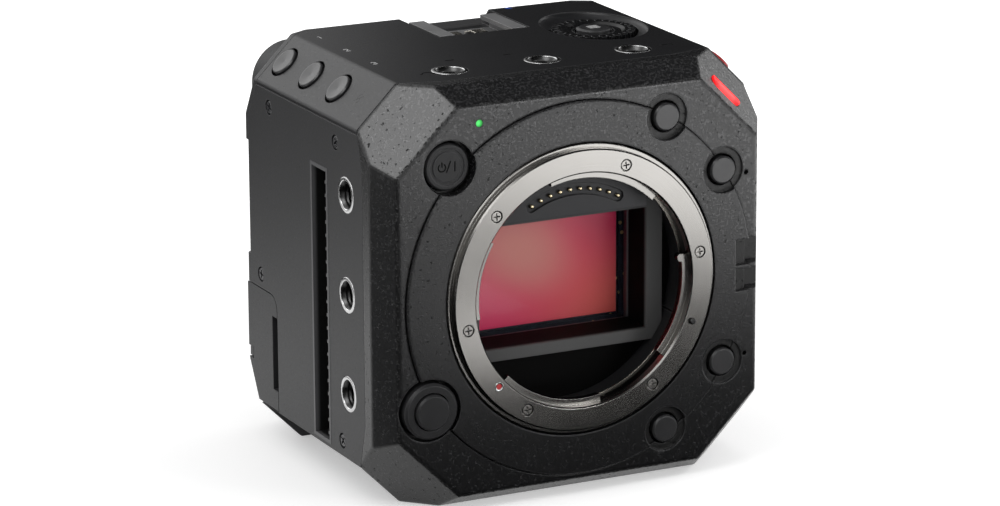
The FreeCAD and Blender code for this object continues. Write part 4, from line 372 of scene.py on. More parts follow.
def boardFinish(name, ground, track):
    f = Finish(name)
    lines = f.step(f.cells(1.4 * mm, "DISTANCE_TO_EDGE"), 0.02, 0.08)
    pads = f.cells(2.6 * mm) < 0.16
    colour = f.blend(lines, track, ground)
    colour = f.blend(pads, colour, (0.55, 0.42, 0.2))
    f.surface({"Base Color": colour, "Metallic": pads * 0.8, "Roughness": 0.42,
               "Normal": f.bump(lines, 0.01 * mm)})
    return f.material


baffleBlack = baffleFinish(baffleLook)
sensorSilicon = sensorFinish(sensorReflectionLook)
coatedGlass = glassFinish()
boardGreen = boardFinish("boardGreen", (0.008, 0.045, 0.022), (0.02, 0.10, 0.05))
boardBlack = boardFinish("boardBlack", (0.004, 0.006, 0.012), (0.010, 0.014, 0.024))


def lampFinish(name, dark, core, centre, reach, strength, stretch=0.0):
    f = Finish(name)
    shifted = f.add("ShaderNodeVectorMath", {"operation": "SUBTRACT"}, {0: f.place, 1: centre})
    x, y, z = f.axes(shifted)
    if stretch:  # a bar that runs down to the right: measure across it
        half = 1 / math.sqrt(2)
        along = (x - z) * half
        beyond = f.add("ShaderNodeMath", {"operation": "MAXIMUM"}, {
            0: f.add("ShaderNodeMath", {"operation": "ABSOLUTE"}, {0: along}) - stretch, 1: 0.0})
        across = (x + z) * half
        reachOut = (across * across + beyond * beyond + y * y * 0.3) ** 0.5
    else:
        reachOut = (x * x + z * z + y * y) ** 0.5
    glow = 1 - f.step(reachOut, 0.15 * reach, reach)
    colour = f.blend(glow, dark, core)
    f.surface({"Base Color": dark, "Roughness": 0.35, "Emission Color": colour,
               "Emission Strength": strength, "Specular IOR Level": 0.3})
    return f.material


def middleOf(node):
    low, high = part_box(node)
    return tuple((low + high) / 2)


statusSpot = middleOf("status_lamp")
tallySpot = middleOf("tally_lamp")
statusGreen = lampFinish("statusGreen", (0.0, 0.16, 0.015), (0.10, 0.85, 0.18),
                         (statusSpot[0] - 0.25 * mm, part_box("status_lamp")[0].y, statusSpot[2] + 0.1 * mm),
                         1.0 * mm, 1.0)
tallyRed = lampFinish("tallyRed", (0.60, 0.004, 0.006), (1.0, 0.085, 0.085), tallySpot,
                      1.9 * mm, 1.5, 1.9 * mm)
networkBlue = lampFinish("networkBlue", (0.0, 0.008, 0.08), (0.01, 0.07, 0.42), middleOf("network_lamp"),
                         1.6 * mm, 1.0)
indexRed = plastic("indexRed", (0.42, 0.012, 0.015), 0.3, shine=0.6)
inkWhite = plastic("inkWhite", (0.42, 0.42, 0.42), 0.5, edge=0.02 * mm)
inkGrey = plastic("inkGrey", (0.16, 0.16, 0.165), 0.45, edge=0.02 * mm)
inkDark = plastic("inkDark", (0.003, 0.003, 0.003), 0.7, edge=0.02 * mm, shine=0.1)

dressing = {
    bezelPaint: ["front_bezel", "front_panel"],
    coverPaint: ["left_cover", "right_cover", "base_cover", "rear_frame", "card_door"],
    topPaint: ["top_cover"],
    rearPlastic: ["rear_panel"],
    trimBlack: ["battery_plate", "card_slot_unit"],
    trimGrey: ["vent_trims"],
    # the power and lens release buttons take the darker collar black: a slightly darker, painted shade copy of the
    # button black
    collarBlack: ["release_collar", "lens_barrel", "power_button", "lens_release_button"],
    mountSteel: ["lens_mount_ring"],
    insertSteel: ["thread_inserts", "tripod_insert"],
    pinSteel: ["lens_lock_pin"],
    screwSteel: ["mount_screws"],
    screwBlack: ["cover_screws"],
    springSteel: ["bayonet_spring", "card_door_pin", "shoe_spring"],
    shoeSteel: ["accessory_shoe"],
    anodised: ["control_dial", "dial_shaft"],
    baffleBlack: ["light_baffle"],
    castAlloy: ["chassis", "sensor_carrier"],
    finAlloy: ["heat_sink", "fin_cover"],
    contactPlastic: ["contact_block"],
    contactGold: ["contact_pins"],
    indexRed: ["index_dot"],
    buttonBlack: ["front_button_upper_inner", "front_button_upper_outer", "front_button_lower_outer",
                  "front_button_lower_inner", "side_button_1", "side_button_2", "side_button_3", "dial_button"],
    buttonRed: ["record_button"],
    tallyRed: ["tally_lamp"],
    statusGreen: ["status_lamp"],
    networkBlue: ["network_lamp"],
    sensorSilicon: ["image_sensor"],
    coatedGlass: ["sensor_glass"],
    boardGreen: ["main_board"],
    boardBlack: ["sensor_board"],
    fanPlastic: ["fan_rotor"],
    socketSteel: ["video_sockets", "flat_sockets"],
    socketPlastic: ["network_socket", "power_inlet", "audio_sockets", "battery_terminals",
                    "battery_latch"],
}
dressed = set()
for material, names in dressing.items():
    for node in names:
        if not len(nodes[node].material_slots):
            nodes[node].data.materials.append(material)
        for holder in nodes[node].material_slots:
            holder.material = material
        dressed.add(node)
print("finishes set, nodes left bare:", sorted(set(nodes) - dressed))


# pieces that repeat: one tree puts a head on every point of a mesh


class Pattern(Sheet):  # a geometry node group with named inputs
    def __init__(self, name, inputs):
        group = bpy.data.node_groups.new(name, "GeometryNodeTree")
        group.interface.new_socket("Geometry", in_out="INPUT", socket_type="NodeSocketGeometry")
        kinds = {"Finish": "NodeSocketMaterial", "Count": "NodeSocketInt"}
        for label in inputs:
            group.interface.new_socket(label, in_out="INPUT", socket_type=kinds.get(label, "NodeSocketFloat"))
        group.interface.new_socket("Geometry", in_out="OUTPUT", socket_type="NodeSocketGeometry")
        super().__init__(group)
        self.start = group.nodes.new("NodeGroupInput")

    def given(self, label):
        return Wire(self, self.start.outputs[label])

    def facing(self):  # the direction that is stored on every point
        return self.add("GeometryNodeInputNamedAttribute", {"data_type": "FLOAT_VECTOR"}, {0: "facing"})

    def close(self, geometry):
        real = self.add("GeometryNodeRealizeInstances", inputs={0: geometry})
        painted = self.add("GeometryNodeSetMaterial", inputs={"Geometry": real, "Material": self.given("Finish")})
        self.add("NodeGroupOutput", inputs={0: painted})


def screwHeads():
    p = Pattern("screwHeads", ["Radius", "Thickness", "Edge", "Recess Length", "Recess Width",
                               "Recess Depth", "Spin", "Finish"])
    radius, thick, edge = p.given("Radius"), p.given("Thickness"), p.given("Edge")
    shank = p.add("GeometryNodeMeshCylinder", inputs={
        "Vertices": 36, "Radius": radius, "Depth": thick - edge}, output="Mesh")
    shank = p.add("GeometryNodeTransform", inputs={"Geometry": shank, "Translation": p.add(
        "ShaderNodeCombineXYZ", inputs={2: (thick + edge) * -0.5})})
    crown = p.add("GeometryNodeMeshCone", inputs={
        "Vertices": 36, "Radius Top": radius - edge, "Radius Bottom": radius, "Depth": edge}, output="Mesh")
    crown = p.add("GeometryNodeTransform", inputs={"Geometry": crown, "Translation": p.add(
        "ShaderNodeCombineXYZ", inputs={2: edge * -1.0})})
    head = p.add("GeometryNodeMeshBoolean", {"operation": "UNION", "solver": "EXACT"}, {1: [shank, crown]}, 0)
    length, width, deep = p.given("Recess Length"), p.given("Recess Width"), p.given("Recess Depth")
    bars = [p.add("GeometryNodeMeshCube", inputs={"Size": p.add("ShaderNodeCombineXYZ", inputs={
        0: a, 1: b, 2: deep * 2.0})}, output="Mesh") for a, b in ((length, width), (width, length))]
    head = p.add("GeometryNodeMeshBoolean", {"operation": "DIFFERENCE", "solver": "EXACT"}, {0: head, 1: bars}, 0)
    turn = p.add("FunctionNodeAlignRotationToVector", {"axis": "Z"}, {"Vector": p.facing()})
    spin = p.add("FunctionNodeRandomValue", {"data_type": "FLOAT"}, {2: 0.0, 3: p.given("Spin"), "Seed": 11}, 1)
    spinTurn = p.add("FunctionNodeAxisAngleToRotation", inputs={"Axis": (0, 0, 1), "Angle": spin})
    turn = p.add("FunctionNodeRotateRotation", {"rotation_space": "LOCAL"}, {0: turn, 1: spinTurn})
    p.close(p.add("GeometryNodeInstanceOnPoints", inputs={
        "Points": p.given("Geometry"), "Instance": head, "Rotation": turn}))
    return p.tree


def grow(name, spots, group, values, body, stands=None):  # spots: (place, facing) pairs in metres
    mesh = bpy.data.meshes.new(name)
    mesh.from_pydata([place for place, facing in spots], [], [])
    marks = mesh.attributes.new("facing", "FLOAT_VECTOR", "POINT")
    for mark, (place, facing) in zip(marks.data, spots):
        mark.vector = facing
    piece = bpy.data.objects.new(name, mesh)
    bpy.context.scene.collection.objects.link(piece)
    grower = piece.modifiers.new("grow", "NODES")
    grower.node_group = group
    for item in group.interface.items_tree:
        if item.in_out == "INPUT" and item.name in values:
            grower[item.identifier] = values[item.name]
    depsgraph = bpy.context.evaluated_depsgraph_get()
    made = bpy.data.meshes.new_from_object(piece.evaluated_get(depsgraph), depsgraph=depsgraph)
    piece.modifiers.clear()
    piece.data = made
    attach(piece, body)
    if stands:
        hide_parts(stands)
    print(name, "has", len(made.polygons), "faces")
    return piece


def islands(node):  # the separate solids of a CAD node, as lists of corner points
    mesh = bmesh.new()
    mesh.from_mesh(nodes[node].data)
    bmesh.ops.remove_doubles(mesh, verts=mesh.verts, dist=0.000002)
    left = set(mesh.verts)
    found = []
    while left:
        queue = [left.pop()]
        group = []
        while queue:
            vert = queue.pop()
            group.append(vert.co.copy())
            for link in vert.link_edges:
                other = link.other_vert(vert)
                if other in left:
                    left.remove(other)
                    queue.append(other)
        found.append(group)
    mesh.free()
    # sorted by place, because a set has no order of its own and the random turns follow this one
    return sorted(found, key=lambda group: tuple(min(p[k] for p in group) for k in range(3)))


def capOf(points, facing):  # where a solid's outer end face has its middle
    facing = Vector(facing)
    reach = max(p.dot(facing) for p in points)
    low = Vector([min(p[k] for p in points) for k in range(3)])
    high = Vector([max(p[k] for p in points) for k in range(3)])
    middle = (low + high) / 2
    return middle + facing * (reach - middle.dot(facing))


caseMiddleY = 35 * mm
sideReach = 46.3 * mm  # only what is set into a side cover reaches further out


def thinAxis(points):  # the axis along which a screw head is thinnest, pointing away from the case
    spans = [max(p[k] for p in points) - min(p[k] for p in points) for k in range(3)]
    k = spans.index(min(spans))
    middle = (max(p[k] for p in points) + min(p[k] for p in points)) / 2
    centre = caseMiddleY if k == 1 else 0.0
    facing = [0.0, 0.0, 0.0]
    facing[k] = 1.0 if middle > centre else -1.0
    return tuple(facing)


heads = screwHeads()
mountHead = {"Radius": 1.14 * mm, "Thickness": 1.15 * mm, "Edge": 0.10 * mm, "Recess Length": 1.6 * mm,
             "Recess Width": 0.30 * mm, "Recess Depth": 0.7 * mm, "Spin": 0.12, "Finish": screwSteel}
grow("mountScrewHeads", [(capOf(s, (0, -1, 0)), (0, -1, 0)) for s in islands("mount_screws")], heads,
     mountHead, "camera_body", "mount_screws")
coverHead = dict(mountHead, Radius=1.55 * mm, Thickness=1.05 * mm, Edge=0.3 * mm, Spin=1.5, Finish=screwBlack)
coverHead.update({"Recess Length": 2.1 * mm, "Recess Width": 0.5 * mm, "Recess Depth": 0.8 * mm})
grow("coverScrewHeads", [(capOf(s, thinAxis(s)), thinAxis(s)) for s in islands("cover_screws")], heads,
     coverHead, "camera_body", "cover_screws")
print("screws done")

# threaded inserts: one turned bush with a helical thread, set into every seat

insertShape = {"radius": 4.0, "hole": 2.6, "lip": 0.9, "length": 8.0, "floor": 0.8, "proud": 0.1,
               "pitch": 1.0, "thread": 0.28, "segments": 56, "rows": 44}


def bushMesh(shape, centre, facing):
    segments = shape["segments"]
    hole, lip = shape["hole"], shape["lip"]
    top = shape["proud"]
    rows = [(0.0, -shape["length"], 0), (shape["radius"], -shape["length"], 0), (shape["radius"], top - 0.35, 0),
            (shape["radius"] - 0.08, top - 0.1, 0), (shape["radius"] - 0.28, top, 0),
            (hole + lip * 0.7, top, 0), (hole + lip * 0.55, top - 0.12, 0), (hole + 0.06, top - lip * 0.82, 0)]
    rim = len(rows) - 2  # the faces before this row are bright; the mouth and the thread are darkened, a painted shade in the hole
    depth = top - lip
    low = shape["floor"] - shape["length"]
    for k in range(shape["rows"]):
        rows.append((hole, depth + (low - depth) * k / (shape["rows"] - 1), 1))
    rows.append((0.0, low, 0))
    verts = []
    faces = []
    dark = []
    for radius, height, threaded in rows:
        if radius == 0:
            verts.append((0, 0, height))
            continue
        for s in range(segments):
            angle = 2 * math.pi * s / segments
            r = radius
            if threaded:
                phase = (height / shape["pitch"] - s / segments) % 1.0
                fade = min(1.0, (depth - height) / 0.5, (height - low) / 0.5)
                r = radius - shape["thread"] * abs(2 * phase - 1) * max(0.0, fade)
            verts.append((r * math.cos(angle), r * math.sin(angle), height))
    start = 1
    for s in range(segments):
        faces.append((0, start + s, start + (s + 1) % segments))
    count = len(rows) - 2
    for k in range(count - 1):
        a = 1 + k * segments
        b = a + segments
        for s in range(segments):
            t = (s + 1) % segments
            if k + 1 >= rim:
                dark.append(len(faces))
            faces.append((a + s, b + s, b + t, a + t))
    last = 1 + (count - 1) * segments
    end = len(verts) - 1
    for s in range(segments):
        dark.append(len(faces))
        faces.append((last + s, end, last + (s + 1) % segments))
    turn = Vector((0, 0, 1)).rotation_difference(Vector(facing)).to_matrix()
    return [centre + turn @ (Vector(v) * mm) for v in verts], faces, dark


def pieceFrom(name, verts, faces, material, body, stands=None, smooth=None, second=None, marked=()):
    mesh = bpy.data.meshes.new(name)
    mesh.from_pydata([tuple(v) for v in verts], [], faces)
    solid = bmesh.new()
    solid.from_mesh(mesh)
    bmesh.ops.recalc_face_normals(solid, faces=solid.faces)
    solid.to_mesh(mesh)
    solid.free()
    mesh.materials.append(material)
    if second:  # the marked faces take the second material
        mesh.materials.append(second)
        for number in marked:
            mesh.polygons[number].material_index = 1
    if smooth:
        mesh.shade_smooth()
        mesh.set_sharp_from_angle(angle=math.radians(smooth))
    piece = bpy.data.objects.new(name, mesh)
    bpy.context.scene.collection.objects.link(piece)
    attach(piece, body)
    for node in stands or ():
        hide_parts(node)
    return piece


def insertFacing(points):
    low = [min(p[k] for p in points) for k in range(3)]
    high = [max(p[k] for p in points) for k in range(3)]
    if low[0] < -sideReach:
        return (-1.0, 0.0, 0.0)
    if high[0] > sideReach:
        return (1.0, 0.0, 0.0)
    return (0.0, 0.0, 1.0) if high[2] > 0 else (0.0, 0.0, -1.0)


verts, faces, dark = [], [], []
for solid in islands("thread_inserts"):
    facing = insertFacing(solid)
    cap = capOf(solid, facing) - Vector(facing) * insertShape["proud"] * mm
    made, sides, shaded = bushMesh(insertShape, cap, facing)
    dark += [len(faces) + k for k in shaded]
    faces += [tuple(len(verts) + k for k in side) for side in sides]
    verts += made
pieceFrom("threadedBushes", verts, faces, insertSteel, "camera_body", ["thread_inserts"], 40,
          threadSteel, dark)
largeShape = dict(insertShape, radius=6.2, hole=4.0, pitch=1.5)
down = (0, 0, -1)
cap = capOf(islands("tripod_insert")[0], down) - Vector(down) * largeShape["proud"] * mm
verts, faces, dark = bushMesh(largeShape, cap, down)
pieceFrom("tripodBush", verts, faces, insertSteel, "camera_body", ["tripod_insert"], 40,
          threadSteel, dark)
print("threaded bushes done")

# contact pins: small domed studs


def studs():
    p = Pattern("studs", ["Radius", "Height", "Finish"])
    radius, height = p.given("Radius"), p.given("Height")
    flat = 0.55  # the dome's height over its radius
    stem = p.add("GeometryNodeMeshCylinder", inputs={
        "Vertices": 20, "Radius": radius, "Depth": height}, output="Mesh")
    stem = p.add("GeometryNodeTransform", inputs={"Geometry": stem, "Translation": p.add(
        "ShaderNodeCombineXYZ", inputs={2: (height * -0.5) - radius * flat})})
    dome = p.add("GeometryNodeMeshUVSphere", inputs={
        "Segments": 20, "Rings": 10, "Radius": radius * 0.999}, output="Mesh")
    dome = p.add("GeometryNodeTransform", inputs={"Geometry": dome, "Translation": p.add(
        "ShaderNodeCombineXYZ", inputs={2: radius * -flat}), "Scale": (1.0, 1.0, flat)})
    stud = p.add("GeometryNodeMeshBoolean", {"operation": "UNION", "solver": "EXACT"}, {1: [stem, dome]}, 0)
    stud = p.add("GeometryNodeSetShadeSmooth", inputs={"Geometry": stud})
    turn = p.add("FunctionNodeAlignRotationToVector", {"axis": "Z"}, {"Vector": p.facing()})
    p.close(p.add("GeometryNodeInstanceOnPoints", inputs={
        "Points": p.given("Geometry"), "Instance": stud, "Rotation": turn}))
    return p.tree


pinLook = {"Radius": 0.46 * mm, "Height": 0.6 * mm, "Finish": contactGold}
grow("goldPins", [(capOf(s, (0, -1, 0)), (0, -1, 0)) for s in islands("contact_pins")], studs(), pinLook,
     "camera_body", "contact_pins")

# ticks printed round the dial


def ticks():
    p = Pattern("ticks", ["Length", "Width", "Height", "Finish"])
    bar = p.add("GeometryNodeMeshCube", inputs={"Size": p.add("ShaderNodeCombineXYZ", inputs={
        0: p.given("Width"), 1: p.given("Height"), 2: p.given("Length")})}, output="Mesh")
    turn = p.add("FunctionNodeAxesToRotation", {"primary_axis": "Z", "secondary_axis": "Y"}, {
        "Primary Axis": p.facing(), "Secondary Axis": (0.0, 0.0, 1.0)})
    p.close(p.add("GeometryNodeInstanceOnPoints", inputs={
        "Points": p.given("Geometry"), "Instance": bar, "Rotation": turn}))
    return p.tree


dialMarks = {"count": 30, "circle": 8.1, "Length": 0.7 * mm, "Width": 0.16 * mm, "Height": 0.03 * mm,
             "Finish": inkGrey}
dialLow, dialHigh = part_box("control_dial")
dialMiddle = (dialLow + dialHigh) / 2
spots = []
for k in range(dialMarks["count"]):
    angle = 2 * math.pi * k / dialMarks["count"]
    away = Vector((math.cos(angle), math.sin(angle), 0))
    spots.append((Vector((dialMiddle.x, dialMiddle.y, dialHigh.z)) + away * dialMarks["circle"] * mm, away))
grow("dialTicks", spots, ticks(), {k: v for k, v in dialMarks.items() if k[0].isupper()}, "control_dial")


# marks: strokes laid on a face


def stroke(name, paths, thick, material, body):  # paths: lists of points in metres
    curve = bpy.data.curves.new(name, "CURVE")
    curve.dimensions = "3D"
    curve.bevel_depth = thick
    curve.bevel_resolution = 2
    curve.use_fill_caps = True
    for path in paths:
        spline = curve.splines.new("POLY")
        spline.points.add(len(path) - 1)
        for point, spot in zip(spline.points, path):
            point.co = (*spot, 1.0)
    holder = bpy.data.objects.new(name, curve)
    bpy.context.scene.collection.objects.link(holder)
    depsgraph = bpy.context.evaluated_depsgraph_get()
    mesh = bpy.data.meshes.new_from_object(holder.evaluated_get(depsgraph), depsgraph=depsgraph)
    bpy.data.objects.remove(holder)
    mesh.materials.clear()
    mesh.materials.append(material)
    piece = bpy.data.objects.new(name, mesh)
    bpy.context.scene.collection.objects.link(piece)
    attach(piece, body)
    return piece


def arc(centre, radius, start, end, steps, level):  # an arc that faces the front, in millimetres
    return [(centre[0] * mm + radius * mm * math.cos(math.radians(start + (end - start) * k / steps)), level,
             centre[1] * mm + radius * mm * math.sin(math.radians(start + (end - start) * k / steps)))
            for k in range(steps + 1)]


def flatArc(centre, radius, start, end, steps):  # the same, lying on the top
    return [(centre[0] + radius * math.cos(math.radians(start + (end - start) * k / steps)),
             centre[1] + radius * math.sin(math.radians(start + (end - start) * k / steps)), centre[2])
            for k in range(steps + 1)]


powerLow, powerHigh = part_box("power_button")
powerX, powerZ = (powerLow.x + powerHigh.x) / 2 / mm, (powerLow.z + powerHigh.z) / 2 / mm
powerLevel = powerLow.y + 0.02 * mm
powerMark = {"aside": -1.25, "radius": 0.85, "start": 125, "end": 415, "thick": 0.15 * mm,  # an open ring
             "bars": [[(-1.25, 0.1), (-1.25, 1.2)], [(-0.2, -1.15), (0.75, 1.3)], [(1.75, -1.0), (1.75, 1.1)]]}
symbol = [arc((powerX + powerMark["aside"], powerZ), powerMark["radius"], powerMark["start"], powerMark["end"],
              20, powerLevel)]
symbol += [[(powerX * mm + u * mm, powerLevel, (powerZ + v) * mm) for u, v in bar] for bar in powerMark["bars"]]
stroke("powerSymbol", symbol, powerMark["thick"], inkDark, "power_button")

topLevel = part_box("top_cover")[1].z
numerals = {"1": [[(-0.35, 0.55), (0.05, 0.9), (0.05, -0.9)]],
            "2": [[(-0.5, 0.5), (-0.3, 0.85), (0.3, 0.85), (0.5, 0.45), (0.4, 0.1), (-0.5, -0.9), (0.55, -0.9)]],
            "3": [[(-0.5, 0.65), (-0.1, 0.9), (0.4, 0.75), (0.45, 0.3), (0.0, 0.05), (0.5, -0.2), (0.45, -0.7),
                   (0.0, -0.92), (-0.5, -0.65)]]}
numeralX = -33.5 * mm
sideMarks = []
for number, node in enumerate(("side_button_3", "side_button_2", "side_button_1"), start=1):
    low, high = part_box(node)
    for path in numerals[str(number)]:
        sideMarks.append([(numeralX + u * mm, (low.y + high.y) / 2 + v * mm, topLevel) for u, v in path])
stroke("sideNumerals", sideMarks, 0.10 * mm, inkWhite, "camera_body")

dialButtonLow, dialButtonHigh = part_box("dial_button")
buttonMiddle = (dialButtonLow + dialButtonHigh) / 2
bars = [[(buttonMiddle.x + u * mm, buttonMiddle.y + v * mm, dialButtonHigh.z) for u in (-1.3, 1.3)]
        for v in (-0.9, 0.0, 0.9)]
stroke("dialButtonBars", bars, 0.12 * mm, inkWhite, "dial_button")

topSpots = sorted((capOf(s, (0, 0, 1)) for s in islands("thread_inserts") if insertFacing(s)[2] > 0),
                  key=lambda spot: spot.x)
iconLevel = topLevel - 0.04 * mm  # sunk, so that the strokes stay inside the CAD box
left, right = topSpots[0], topSpots[-1]
iconPaths = [(left, [(-7.3, -1.0), (-6.8, -1.0)]), (left, [(-4.4, -1.0), (-3.9, -1.0)]),
             (right, [(7.0, -0.6), (7.0, 0.5), (9.6, 0.5), (9.6, -0.6)]),
             (left, [(3.0, 8.4), (5.0, 8.4)]), (left, [(16.5, 7.6), (18.2, 7.6)])]  # from an insert, millimetres
icons = [flatArc((left.x - 5.6 * mm, left.y - 1.0 * mm, iconLevel), 1.2 * mm, 10, 170, 8)]
icons += [[(spot.x + u * mm, spot.y + v * mm, iconLevel) for u, v in path] for spot, path in iconPaths]
stroke("topIcons", icons, 0.14 * mm, inkDark, "camera_body")
buttonLow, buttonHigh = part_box("side_button_1")
tagRise, tagAhead = 0.35 * mm, 7.0 * mm
tagX, tagZ = (buttonLow.x + buttonHigh.x) / 2 - tagRise, (buttonLow.z + buttonHigh.z) / 2 + tagRise
tagY = min(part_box(n)[0].y for n in ("side_button_1", "side_button_3")) - tagAhead


def onChamfer(u, v):  # u runs forward, v up the slope, in millimetres from the tag's middle
    rise = v * mm / math.sqrt(2)
    return (tagX + rise, tagY - u * mm, tagZ + rise)


tagPaths = [[(-1.2, -0.9), (1.2, 0.9)], [(-0.5, -0.4), (-0.6, 0.8), (0.1, 1.2)],
            [(0.4, 0.3), (0.7, -0.7), (0.1, -1.1)]]
tag = [[onChamfer(u, v) for u, v in path] for path in tagPaths]
stroke("chamferIcon", tag, 0.12 * mm, inkDark, "camera_body")


def turnedMesh(profile, centre, facing, segments=40):  # a closed profile of (radius, height), millimetres
    turn = Vector((0, 0, 1)).rotation_difference(Vector(facing)).to_matrix()
    verts = [Vector(centre) + turn @ (Vector((r * math.cos(a), r * math.sin(a), h)) * mm)
             for r, h in profile for a in [2 * math.pi * s / segments for s in range(segments)]]
    faces = []
    rows = len(profile)
    for k in range(rows):
        a, b = k * segments, (k + 1) % rows * segments
        faces += [(a + s, b + s, b + (s + 1) % segments, a + (s + 1) % segments) for s in range(segments)]
    return verts, faces


dotLow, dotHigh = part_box("index_dot")
rimProfile = [(0.62, -0.2), (1.0, -0.2), (1.0, 0.06), (0.92, 0.16), (0.74, 0.16), (0.62, 0.06)]
dotMiddle = ((dotLow.x + dotHigh.x) / 2, dotLow.y, (dotLow.z + dotHigh.z) / 2)
verts, faces = turnedMesh(rimProfile, dotMiddle, (0, -1, 0))
pieceFrom("indexRim", verts, faces, insertSteel, "camera_body", smooth=40)

# two small studs on the right bevel
strapLook = {"x": 43.8 * mm, "y": 4.9 * mm, "heights": (8.9, -8.4), "segments": 24}
studProfile = [(0.01, -0.5), (0.75, -0.5), (0.75, 0.0), (0.62, 0.22), (0.4, 0.36), (0.01, 0.42)]
outward = (1 / math.sqrt(2), -1 / math.sqrt(2), 0)
verts, faces = [], []
for z in strapLook["heights"]:
    made, sides = turnedMesh(studProfile, (strapLook["x"], strapLook["y"], z * mm), outward, strapLook["segments"])
    faces += [tuple(len(verts) + k for k in side) for side in sides]
    verts += made
pieceFrom("strapStuds", verts, faces, insertSteel, "camera_body", smooth=50)
print("marks done")

# floor, lamps, world and camera

squareTurns = ((-1, -1), (1, -1), (1, 1), (-1, 1))  # the corners of a square, in turn
floorLook = {"level": cadBox[0][2], "half": 4.0, "colour": (0.80, 0.80, 0.80), "lift": 0.40, "farLift": 0.8,
             "fade": (0.14, 0.5)}
floorMesh = bpy.data.meshes.new("floor")
floorMesh.from_pydata([(floorLook["half"] * u, floorLook["half"] * v, floorLook["level"]) for u, v in squareTurns],
                      [], [(0, 1, 2, 3)])
floor = bpy.data.objects.new("floor", floorMesh)
bpy.context.scene.collection.objects.link(floor)
f = Finish("floorPale")
x, y, z = f.axes()
far = f.step((x * x + y * y) ** 0.5, *floorLook["fade"])
lift = f.shown() * (floorLook["lift"] + far * (floorLook["farLift"] - floorLook["lift"]))
matt = f.add("ShaderNodeBsdfDiffuse", inputs={"Color": (*floorLook["colour"], 1.0), "Roughness": 0.0})
glow = f.add("ShaderNodeEmission", inputs={"Color": (1, 1, 1, 1), "Strength": lift})
f.finishWith(f.add("ShaderNodeAddShader", inputs={0: matt, 1: glow}))
floor.data.materials.append(f.material)

world = bpy.data.worlds.new("studio")
bpy.context.scene.world = world
world.use_nodes = True
sky = Sheet(world.node_tree)
sky.tree.nodes.clear()
worldLook = {"light": 0.6, "shown": 1.0}  # how strongly it lights the object, and how bright it looks
dim, white = [sky.add("ShaderNodeBackground", inputs={"Color": (1, 1, 1, 1), "Strength": worldLook[part]})
              for part in ("light", "shown")]
sky.add("ShaderNodeOutputWorld", inputs={
    "Surface": sky.add("ShaderNodeMixShader", inputs={0: sky.shown(), 1: dim, 2: white})})


def softbox(name, place, target, size, power):
    lamp = bpy.data.lights.new(name, "AREA")
    lamp.shape = "RECTANGLE"
    lamp.size, lamp.size_y = size
    lamp.energy = power
    holder = bpy.data.objects.new(name, lamp)
    bpy.context.scene.collection.objects.link(holder)
    holder.location = place
    holder.rotation_euler = (Vector(target) - Vector(place)).to_track_quat("-Z", "Y").to_euler()
    return holder


lampLook = {  # place, size, power
    "keyLeft": ((-0.55, -0.15, 0.70), (0.5, 0.5), 2.0),
    "overhead": ((0.10, 0.15, 0.90), (0.8, 0.6), 0.6),
    "rightHigh": ((0.75, -0.10, 0.60), (0.5, 0.5), 2.2),
    "backLeft": ((-0.30, 0.90, 0.45), (0.5, 0.4), 0.8),
    "backRight": ((0.85, 0.45, 0.25), (0.4, 0.4), 0.5),
    "nearFront": ((0.24, -0.38, 0.14), (0.15, 0.15), 0.6),
}
lampTarget = (0, 30 * mm, 0)
for name, (place, size, power) in lampLook.items():
    lamp = softbox(name, place, lampTarget, size, power)
    lamp.visible_glossy = name not in ("rightHigh", "overhead")


# a card that only reflections see: bright where shine is given and otherwise black, from low to high along weights
def card(name, corners, weights, low, high, shine=None, fade=None):
    mesh = bpy.data.meshes.new(name)
    mesh.from_pydata(corners, [], [tuple(range(len(corners)))])
    plane = bpy.data.objects.new(name, mesh)
    bpy.context.scene.collection.objects.link(plane)
    for ray in ("camera", "diffuse", "transmission", "volume_scatter", "shadow"):
        setattr(plane, "visible_" + ray, False)
    f = Finish(name)
    along = f.add("ShaderNodeVectorMath", {"operation": "DOT_PRODUCT"}, {0: f.place, 1: weights}, 1)
    ramp = f.step(along, low, high)
    if fade:
        ramp = ramp * (1 - f.step(along, fade[0], fade[1]) * fade[2])
    if shine:
        f.finishWith(f.add("ShaderNodeEmission", inputs={"Color": (1, 1, 1, 1), "Strength": ramp * shine}))
    else:
        dark = f.add("ShaderNodeBsdfDiffuse", inputs={"Color": (0.01, 0.01, 0.01, 1.0)})
        clear = f.add("ShaderNodeBsdfTransparent")
        f.finishWith(f.add("ShaderNodeMixShader", inputs={0: ramp, 1: clear, 2: dark}))
    plane.data.materials.append(f.material)


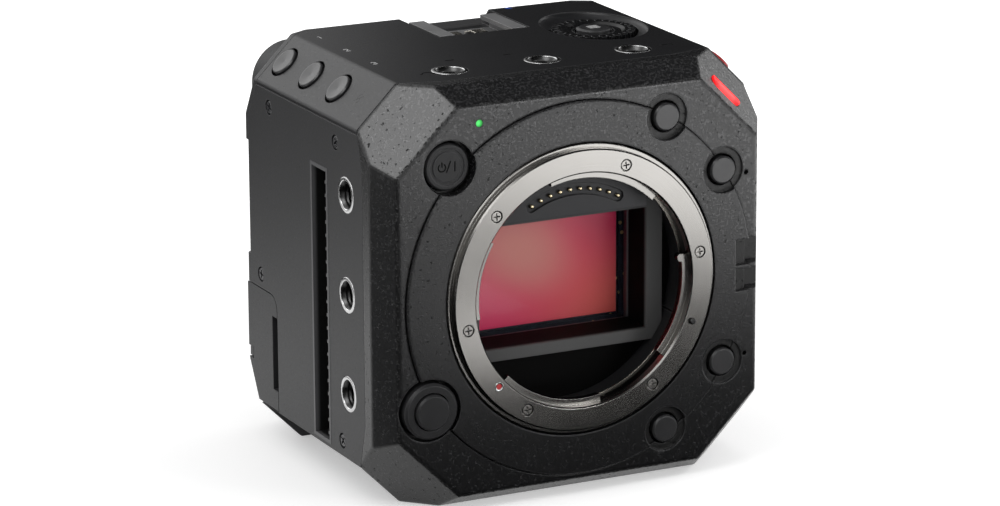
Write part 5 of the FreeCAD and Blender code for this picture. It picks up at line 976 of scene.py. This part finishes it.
level = floorLook["level"] + 0.5 * mm
card("floorCard", [(-0.6, -0.9, level), (0.8, -0.9, level), (0.8, 0.003, level), (-0.046, 0.003, level),
                   (-0.6, 0.20, level)], (0.88, -0.47, 0.0), 0.14, 0.245, 4.2, (0.30, 0.48, 0.75))
card("backCard", [(-0.2, 0.35, -0.04), (0.6, 0.35, -0.04), (0.6, 0.35, 0.6), (-0.2, 0.35, 0.6)],
     (1.0, 0.0, 0.0), 0.01, 0.15)
card("sideCard", [(-0.9, 0.31, level), (-0.05, 0.06, level), (-0.05, 0.95, level), (-0.9, 0.95, level)],
     (-0.43, 0.86, 0.0), 0.14, 0.33)


evenly = ((0.0, 0.0, 1.0), -1.0, -0.5)  # a ramp that is full over the whole card


def facingCard(name, centre, half, shine=None):  # a square that faces the origin, where the lens mount is
    centre = Vector(centre)
    aside = centre.cross(Vector((0, 0, 1))).normalized() * half
    above = aside.cross(centre).normalized() * half
    card(name, [centre + aside * u + above * v for u, v in squareTurns], *evenly, shine)


facingCard("keyCard", (-0.70, -0.20, 0.88), 0.36, 3.2)
facingCard("topCard", (0.46, -0.26, 0.84), 0.75)
facingCard("leftCard", (-0.80, -0.42, 0.08), 0.35)
facingCard("frontCard", (0.42, -0.84, 0.16), 0.35)
patchLook = {"place": (34 * mm, -118 * mm), "half": (20 * mm, 22 * mm), "level": level + 0.3 * mm, "shine": 3.2}
(patchX, patchY), (halfX, halfY) = patchLook["place"], patchLook["half"]
card("lowPatch", [(patchX + u * halfX, patchY + v * halfY, patchLook["level"]) for u, v in squareTurns],
     *evenly, patchLook["shine"])

cameraLook = {"place": (-0.4191, -0.8080, 0.2593), "forward": (0.4267, 0.8645, -0.2657), "roll": -0.29,
              "lens": 160.0}
shot = bpy.data.cameras.new("photoCamera")
shot.lens = cameraLook["lens"]
shot.sensor_width = 36.0
shot.sensor_fit = "HORIZONTAL"
holder = bpy.data.objects.new("photoCamera", shot)
bpy.context.scene.collection.objects.link(holder)
aim = Vector(cameraLook["forward"]).to_track_quat("-Z", "Y").to_matrix().to_4x4()
roll = Matrix.Rotation(math.radians(cameraLook["roll"]), 4, "Z")
holder.matrix_world = Matrix.Translation(cameraLook["place"]) @ aim @ roll
bpy.context.scene.camera = holder
bpy.context.scene.view_settings.view_transform = "Standard"

print("scene ready")
